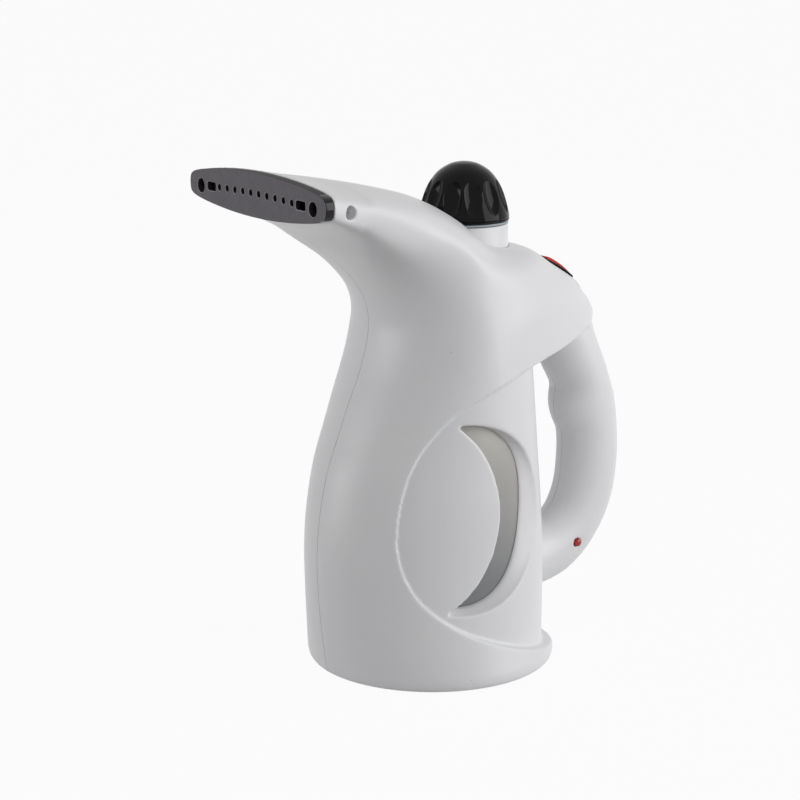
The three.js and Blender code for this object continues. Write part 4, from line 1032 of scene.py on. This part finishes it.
def plate_hole(y, radius):
    """A round hole through the plate, with the chamfer round its mouth."""
    z = row_height(y)
    return join(cylinder((PLATE_FRONT - 2, y, z), (PLATE_BACK + 9, y, z), radius, 40),
                cylinder((PLATE_FRONT - 0.2, y, z), (PLATE_FRONT + RIM_CHAMFER, y, z),
                         radius + RIM_CHAMFER + 0.2, 40, radius))


def plate_slot(y):
    """A clip slot: a rounded block through the plate, with the chamfer round its mouth."""
    length, height, corner = SLOT
    place = (Matrix.Translation((0, y, row_height(y))) @ Matrix.Rotation(pi / 2, 4, "Y")
             @ Matrix.Rotation(pi / 2, 4, "Z"))
    through_block = slab(length, height, PLATE_FRONT - 2, PLATE_BACK + 9, corner)
    mouth = slab(length, height, PLATE_FRONT + RIM_CHAMFER, PLATE_FRONT - 0.2, corner)
    grown = [v for v in mouth.verts if v.co.z < PLATE_FRONT]
    reach = RIM_CHAMFER + 0.2
    bmesh.ops.scale(mouth, vec=((length / 2 + reach) / (length / 2),
                                (height / 2 + reach) / (height / 2), 1), verts=grown)
    bmesh.ops.recalc_face_normals(mouth, faces=mouth.faces)
    slot = join(through_block, mouth)
    slot.data.transform(place)
    return slot


def nozzle_plate():
    """Steam plate: a rounded face with its row of jets, and a rim that plugs into the spout."""
    rim, pocket = WALL + FIT + 1.7, WALL + FIT + 3.5
    edge = [(PLATE_FRONT + 0.6 * (1 - sin(t)), 0.3 + 0.6 * (1 - cos(t)))
            for t in (pi / 2 * i / 5 for i in range(5, -1, -1))]
    plate = to_object(plate_block(edge + [(PLATE_BACK, 0.3)]))
    join(plate, plate_block([(PLATE_BACK - 1, rim), (PLATE_BACK + 4, rim)]))
    cut(plate, plate_block([(PLATE_FRONT + 2.2, pocket), (PLATE_BACK + 5, pocket)]))
    holes = [plate_hole(y, PORT_HOLE) for y in (-PORT_AT, PORT_AT)]
    holes += [plate_slot(y) for y in (-SLOT_AT, SLOT_AT)]
    holes += [plate_hole((i - (JETS - 1) / 2) * JET_PITCH, JET_RADIUS) for i in range(JETS)]
    return cut(plate, *holes)


plate = finish_piece(nozzle_plate(), "root", "nozzle_grey", "nozzle_plate", crease=30)
# The same plastic on the chamfer round each hole's mouth, painted lighter: a painted highlight along
# the rim of each hole.
plate.data.materials.append(finish("nozzle_rim_painted_highlight", "#77747a", "#a3a0a6", (1.2, 3),
                                   {"Roughness": 0.4}))
# Bores and the inside of the plate painted near black: painted shade inside the holes.
plate.data.materials.append(textured_plastic("nozzle_bore_painted_shade", "#060606", "#0c0c0c", 0.7, 0.6, 0.03))
# Chamfer faces round the holes take the painted highlight, faces inside the plate the painted shade.
for face in plate.data.polygons:
    x, _, z = face.center / MM
    from_row = abs(z - row_height(face.center.y / MM))
    if abs(face.normal.x) < 0.85 and from_row < PORT_HOLE + 1 and x < PLATE_FRONT + RIM_CHAMFER:
        face.material_index = 1
    elif x > PLATE_FRONT + RIM_CHAMFER and plate_room(face.center / MM) > 1.0:
        face.material_index = 2

# ---------------- switch and lamp

LEDGE_TOP = BEZEL_SEAT + FIT + 0.7   # ledge in the frame, under the rocker's edge
ROCKER_HALF, ROCKER_WIDE = 8.2, 6.1   # half its length and half its width
STEM_HALF, STEM_WIDE = 7.4, 4.8
ROCKER_PLAY = 3 * FIT
ROCKER_PIVOT = Vector((0, 0, -4.5))
ROCKER_CROWN = BEZEL_CROWN + 1.1
ROCKER_TILT = radians(3.5)
BLADE_AT = 5.5   # distance of each terminal's slot from the middle


def switch_housing():
    """Snap-in switch: a crowned frame with a soft rim, over the body that holds the rocker."""
    end = SWITCH_LENGTH / 2
    crown = smooth_line([(-end - 0.1, BEZEL_EDGE), (-end / 2, BEZEL_CROWN - 0.15), (0, BEZEL_CROWN),
                         (end / 2, BEZEL_CROWN - 0.15), (end + 0.1, BEZEL_EDGE)], 24)
    housing = combine(
        to_object(slab(SWITCH_LENGTH, SWITCH_WIDTH, BEZEL_SEAT + FIT, 5, 2)), "INTERSECT",
        side_prism(crown + [(end + 1, 0), (-end - 1, 0)], -SWITCH_WIDTH, SWITCH_WIDTH))
    join(housing, slab(SWITCH_LENGTH - 2.4, SWITCH_WIDTH - 2.4, -SWITCH_DEPTH, BEZEL_EDGE - 1, 1))
    cut(housing, slab(2 * (ROCKER_HALF + ROCKER_PLAY), 2 * (ROCKER_WIDE + FIT), LEDGE_TOP, 5, 0.5),
        slab(2 * (STEM_HALF + ROCKER_PLAY), 2 * (STEM_WIDE + FIT), -10, 5, 0.6),
        cylinder(ROCKER_PIVOT - Vector((0, 10, 0)), ROCKER_PIVOT + Vector((0, 10, 0)), 1 + FIT),
        *[block((x - 0.5, -2.6, -SWITCH_DEPTH - 1), (x + 0.5, 2.6, 3 - SWITCH_DEPTH))
          for x in (-BLADE_AT, BLADE_AT)])
    thin_out(soften(housing, 0.2), 0.6)
    housing.data.transform(ON_SLOPE)
    return housing


def switch_rocker():
    """Crowned red rocker on its stem, tipped to its off position."""
    r, crown = ROCKER_HALF, ROCKER_CROWN
    under = LEDGE_TOP + FIT + r * sin(ROCKER_TILT)
    top = smooth_line([(r, crown - 1), (r - 0.6, crown - 0.7), (r * 0.55, crown - 0.22), (0, crown),
                       (-r * 0.55, crown - 0.22), (0.6 - r, crown - 0.7), (-r, crown - 1)], 40)
    rocker = to_object(side_prism(top + [(-r, under), (r, under)], -ROCKER_WIDE, ROCKER_WIDE))
    pivot = ROCKER_PIVOT.z
    stem = side_prism([(-STEM_HALF, pivot - 1.5), (0, pivot - 3.6), (STEM_HALF, pivot - 1.5),
                       (STEM_HALF, crown - 2), (-STEM_HALF, crown - 2)], -STEM_WIDE, STEM_WIDE)
    reach = Vector((0, STEM_WIDE + 0.9, 0))
    join(rocker, stem, cylinder(ROCKER_PIVOT - reach, ROCKER_PIVOT + reach, 1))
    thin_out(soften(rocker, 0.16), 0.6)
    rocker.data.transform(ON_SLOPE @ Matrix.Translation(ROCKER_PIVOT)
                          @ Matrix.Rotation(ROCKER_TILT, 4, "Y")
                          @ Matrix.Translation(-ROCKER_PIVOT))
    return rocker


def lamp_lens():
    """Press-in lens with a low domed front."""
    r, length = LAMP_RADIUS, 5.6
    profile = [(0, 0), (r - 0.25, 0), (r, 0.25), (r, length - 0.75)]
    profile += [(r * cos(t), length - 0.75 + 0.75 * sin(t))
                for t in (pi / 2 * i / 8 for i in range(1, 9))]
    profile[-1] = (0, length)
    back = (LAMP_X, -GRIP_HALF_WIDTH + 4.5, LAMP_Z)
    return spun(profile, 48, closed=False, place=along(back, (LAMP_X, -60, LAMP_Z)))


def lamp_bulb():
    """Small glass envelope with a drawn tip."""
    r, length = 2.2, 7.0
    profile = [(0, 0), (0.5, 0.1), (0.7, 0.5), (1.5, 0.9), (r, 1.9), (r, length - 1.0),
               (r - 0.4, length - 0.3), (r - 1, length), (0, length)]
    front = (LAMP_X, -GRIP_HALF_WIDTH + 4.5 + FIT, LAMP_Z)
    return spun(profile, 40, closed=False, place=along(front, (LAMP_X, 60, LAMP_Z)))


finish_piece(switch_housing(), "root", "black_gloss", "switch_housing")
rocker = finish_piece(switch_rocker(), "rocker", "red_plastic", "switch_rocker")
rocker.data.materials[0] = gloss_plastic("red_polycarbonate", "#cf1f10", "#de2c1a", 0.5, 1.4)
finish_piece(lamp_lens(), "root", "red_plastic", "lamp_lens")
finish_piece(lamp_bulb(), "root", "neon_glass", "lamp_bulb")

# ---------------- cord inlet, base and screws

INLET_INNER = BARREL_RADIUS - 0.4 - WALL - 4   # radius at which the cord inlet's lip begins
FIXING_SPREAD = 44.9   # radius of the circle of screws


def cord_inlet():
    """Rubber bush for the mains lead: a flange outside and a lip inside the wall."""
    bore, length = 3.4, WALL + 4 + 3.4
    flange = length - 1.7
    rim = INLET_RADIUS + 1.5
    profile = eased([(bore, 0), (INLET_RADIUS, 0), (INLET_RADIUS, flange), (rim, flange),
                     (rim, length), (bore, length)], 0.6)
    return spun(profile, 72, place=along(inlet_point(INLET_INNER), inlet_point(90)))


def base_cover():
    """Round moulded cover with a raised pad for the terminals and four sunk screw seats."""
    thick, pad = 3.5, cover_high.z
    disc = eased([(0.01, 0), (COVER_RADIUS, 0), (COVER_RADIUS, thick), (0.01, thick)], 0.5)
    profile = [(0, 0)] + [p for p in disc if p[0] > 1] + [(0, thick)]
    cover = join(spun(profile, 144, closed=False), slab(28, 18, thick - 1, pad, 1.2))
    bore, mouth = SCREW_HEAD + FIT, SCREW_HEAD + FIT + 0.4
    seat = eased([(0.01, -1), (mouth, -1), (mouth, 0), (bore, 0.4), (bore, 2.4), (0.01, 2.4)], 0.1)
    tools = []
    for turn in map(radians, (40, 140, 220, 320)):
        x, y = FIXING_SPREAD * cos(turn), FIXING_SPREAD * sin(turn)
        tools += [spun(seat, 48, place=Matrix.Translation((x, y, 0))),
                  cylinder((x, y, 1), (x, y, 9), SHANK + FIT, 32)]
    return cut(cover, *tools)


def screw(head, tip):
    """Pan-head tapping screw with a cross recess: the head's top at one point, the tip at the
    other."""
    length = (Vector(tip) - Vector(head)).length
    profile = [(0, 0), (SCREW_HEAD - 1.1, 0.05), (SCREW_HEAD - 0.4, 0.3), (SCREW_HEAD, 0.9),
               (SCREW_HEAD, HEAD_THICK - 0.1), (SCREW_HEAD - 0.1, HEAD_THICK), (SHANK, HEAD_THICK)]
    ridge, pitch, core = HEAD_THICK + 0.5, 1.0, SHANK - 0.3
    while ridge < length - 1.6:
        profile += [(core, ridge), (SHANK, ridge + pitch * 0.4), (SHANK, ridge + pitch * 0.5)]
        ridge += pitch
    profile += [(core, length - 1.5), (0.3, length - 0.1), (0, length)]
    piece = to_object(spun(profile, 28, closed=False))
    recess = []
    for turn in (0, 1):
        bm = bmesh.new()
        bmesh.ops.create_cone(bm, cap_ends=True, segments=4, radius1=2.1, radius2=0.7, depth=1.5)
        bmesh.ops.rotate(bm, cent=(0, 0, 0), verts=bm.verts,
                         matrix=Matrix.Rotation(pi / 4, 3, "Z"))
        bmesh.ops.scale(bm, vec=(1, 0.26, 1), verts=bm.verts)
        bmesh.ops.rotate(bm, cent=(0, 0, 0), verts=bm.verts,
                         matrix=Matrix.Rotation(turn * pi / 2, 3, "Z"))
        bmesh.ops.translate(bm, vec=(0, 0, 0.55), verts=bm.verts)
        recess.append(bm)
    cut(piece, *recess)
    piece.data.transform(along(head, tip))
    return piece


finish_piece(cord_inlet(), "root", "black_rubber", "cord_inlet")
finish_piece(base_cover(), "root", "white_plastic", "base_cover")
for node in [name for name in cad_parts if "_screw_" in name]:
    low, high = box_mm(node)
    x, y, z = (low + high) / 2
    if node.startswith("shell"):
        ends = (x, high.y, z), (x, low.y, z)
    else:
        ends = (x, y, low.z), (x, y, high.z)
    finish_piece(screw(*ends), "root", "steel", node)

# ---------------- pieces kept as they are

KEPT = {
    "tank_gasket": "silicone", "neck_seal": "silicone", "steam_hose": "silicone",
    "heating_plate": "cast_alloy", "thermostat": "cast_alloy", "heating_element": "steel",
    "thermal_fuse": "ceramic", "terminal_block": "ceramic", "steam_spreader": "black_matte",
    "switch_terminal_1": "steel", "switch_terminal_2": "steel",
    "wire_supply_to_switch": "wire_red", "wire_switch_to_heater": "wire_blue",
}
for node, slot in KEPT.items():
    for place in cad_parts[node].material_slots:
        place.material = FINISH[slot]

# ---------------- floor, light and camera


def seen_directly(tree):
    """1 where the eye sees a thing, or sees it in a gloss or through glass, and otherwise 0."""
    path = add(tree, "LightPath", {}).outputs
    seen = path["Is Camera Ray"]
    for kind in ("Is Glossy Ray", "Is Transmission Ray"):
        seen = add(tree, "Math", {0: seen, 1: path[kind]}, operation="MAXIMUM").outputs[0]
    return seen


# A plain white floor that shows almost white to the eye and still takes a faint shadow.
floor_bm = bmesh.new()
bmesh.ops.create_grid(floor_bm, x_segments=1, y_segments=1, size=30)
floor = to_object(floor_bm, "floor")
floor.data.materials.append(bpy.data.materials.new("white_floor"))
tree = new_tree(floor.data.materials[0])
glow_share = add(tree, "Math", {0: seen_directly(tree), 1: 0.95}, operation="MULTIPLY")
paint = add(tree, "BsdfDiffuse", {"Color": colour("#cccccc")})
glow = add(tree, "Emission", {"Color": colour("#ffffff"), "Strength": 1.0})
mix = add(tree, "MixShader", {0: glow_share.outputs[0], 1: paint.outputs[0],
                              2: glow.outputs[0]})
add(tree, "OutputMaterial", {"Surface": mix.outputs[0]})

# A white surround to the eye, which lights the steamer softly and a little more from the side.
world = bpy.data.worlds.new("studio")
bpy.context.scene.world = world
tree = new_tree(world)
ray = add(tree, "TexCoord", {}).outputs["Generated"]
upward = add(tree, "SeparateXYZ", {"Vector": ray}).outputs["Z"]
soft = add(tree, "MapRange", {"Value": upward, "To Min": 0.49, "To Max": 0.25})
level = add(tree, "MapRange", {"Value": seen_directly(tree),
                               "To Min": soft.outputs[0], "To Max": 1.0})
sky = add(tree, "Background", {"Color": colour("#ffffff"), "Strength": level.outputs[0]})
add(tree, "OutputWorld", {"Surface": sky.outputs[0]})

TARGET = Vector((-16.935, 0, 120.99)) * MM   # what the lamps and the camera look at


def facing(thing, azimuth, elevation, distance):
    """Turns a lamp or a camera to the target. Azimuth 0 is the left shell's side and 90 is the
    handle's."""
    a, e = radians(azimuth), radians(elevation)
    thing.location = TARGET + distance * Vector((sin(a) * cos(e), -cos(a) * cos(e), sin(e)))
    thing.rotation_euler = (thing.location - TARGET).to_track_quat("Z", "Y").to_euler()
    return thing


def lamp(name, azimuth, elevation, distance, width, height, power):
    """A soft rectangular studio lamp that faces the steamer."""
    light = bpy.data.lights.new(name, "AREA")
    light.shape = "RECTANGLE"
    light.size, light.size_y = width, height
    light.energy = power
    facing(scene_object(name, light), azimuth, elevation, distance)


lamp("key_lamp", 42, 16, 1.6, 1.3, 1.2, 15.5)
lamp("edge_lamp", -112, 2, 1.8, 1.0, 1.0, 10)

camera_data = bpy.data.cameras.new("camera")
camera_data.sensor_width = 36
camera_data.lens = 93.42
camera_data.clip_start = 0.05
bpy.context.scene.camera = facing(scene_object("camera", camera_data), -34, 13.222, 0.92)
bpy.context.scene.view_settings.view_transform = "Standard"
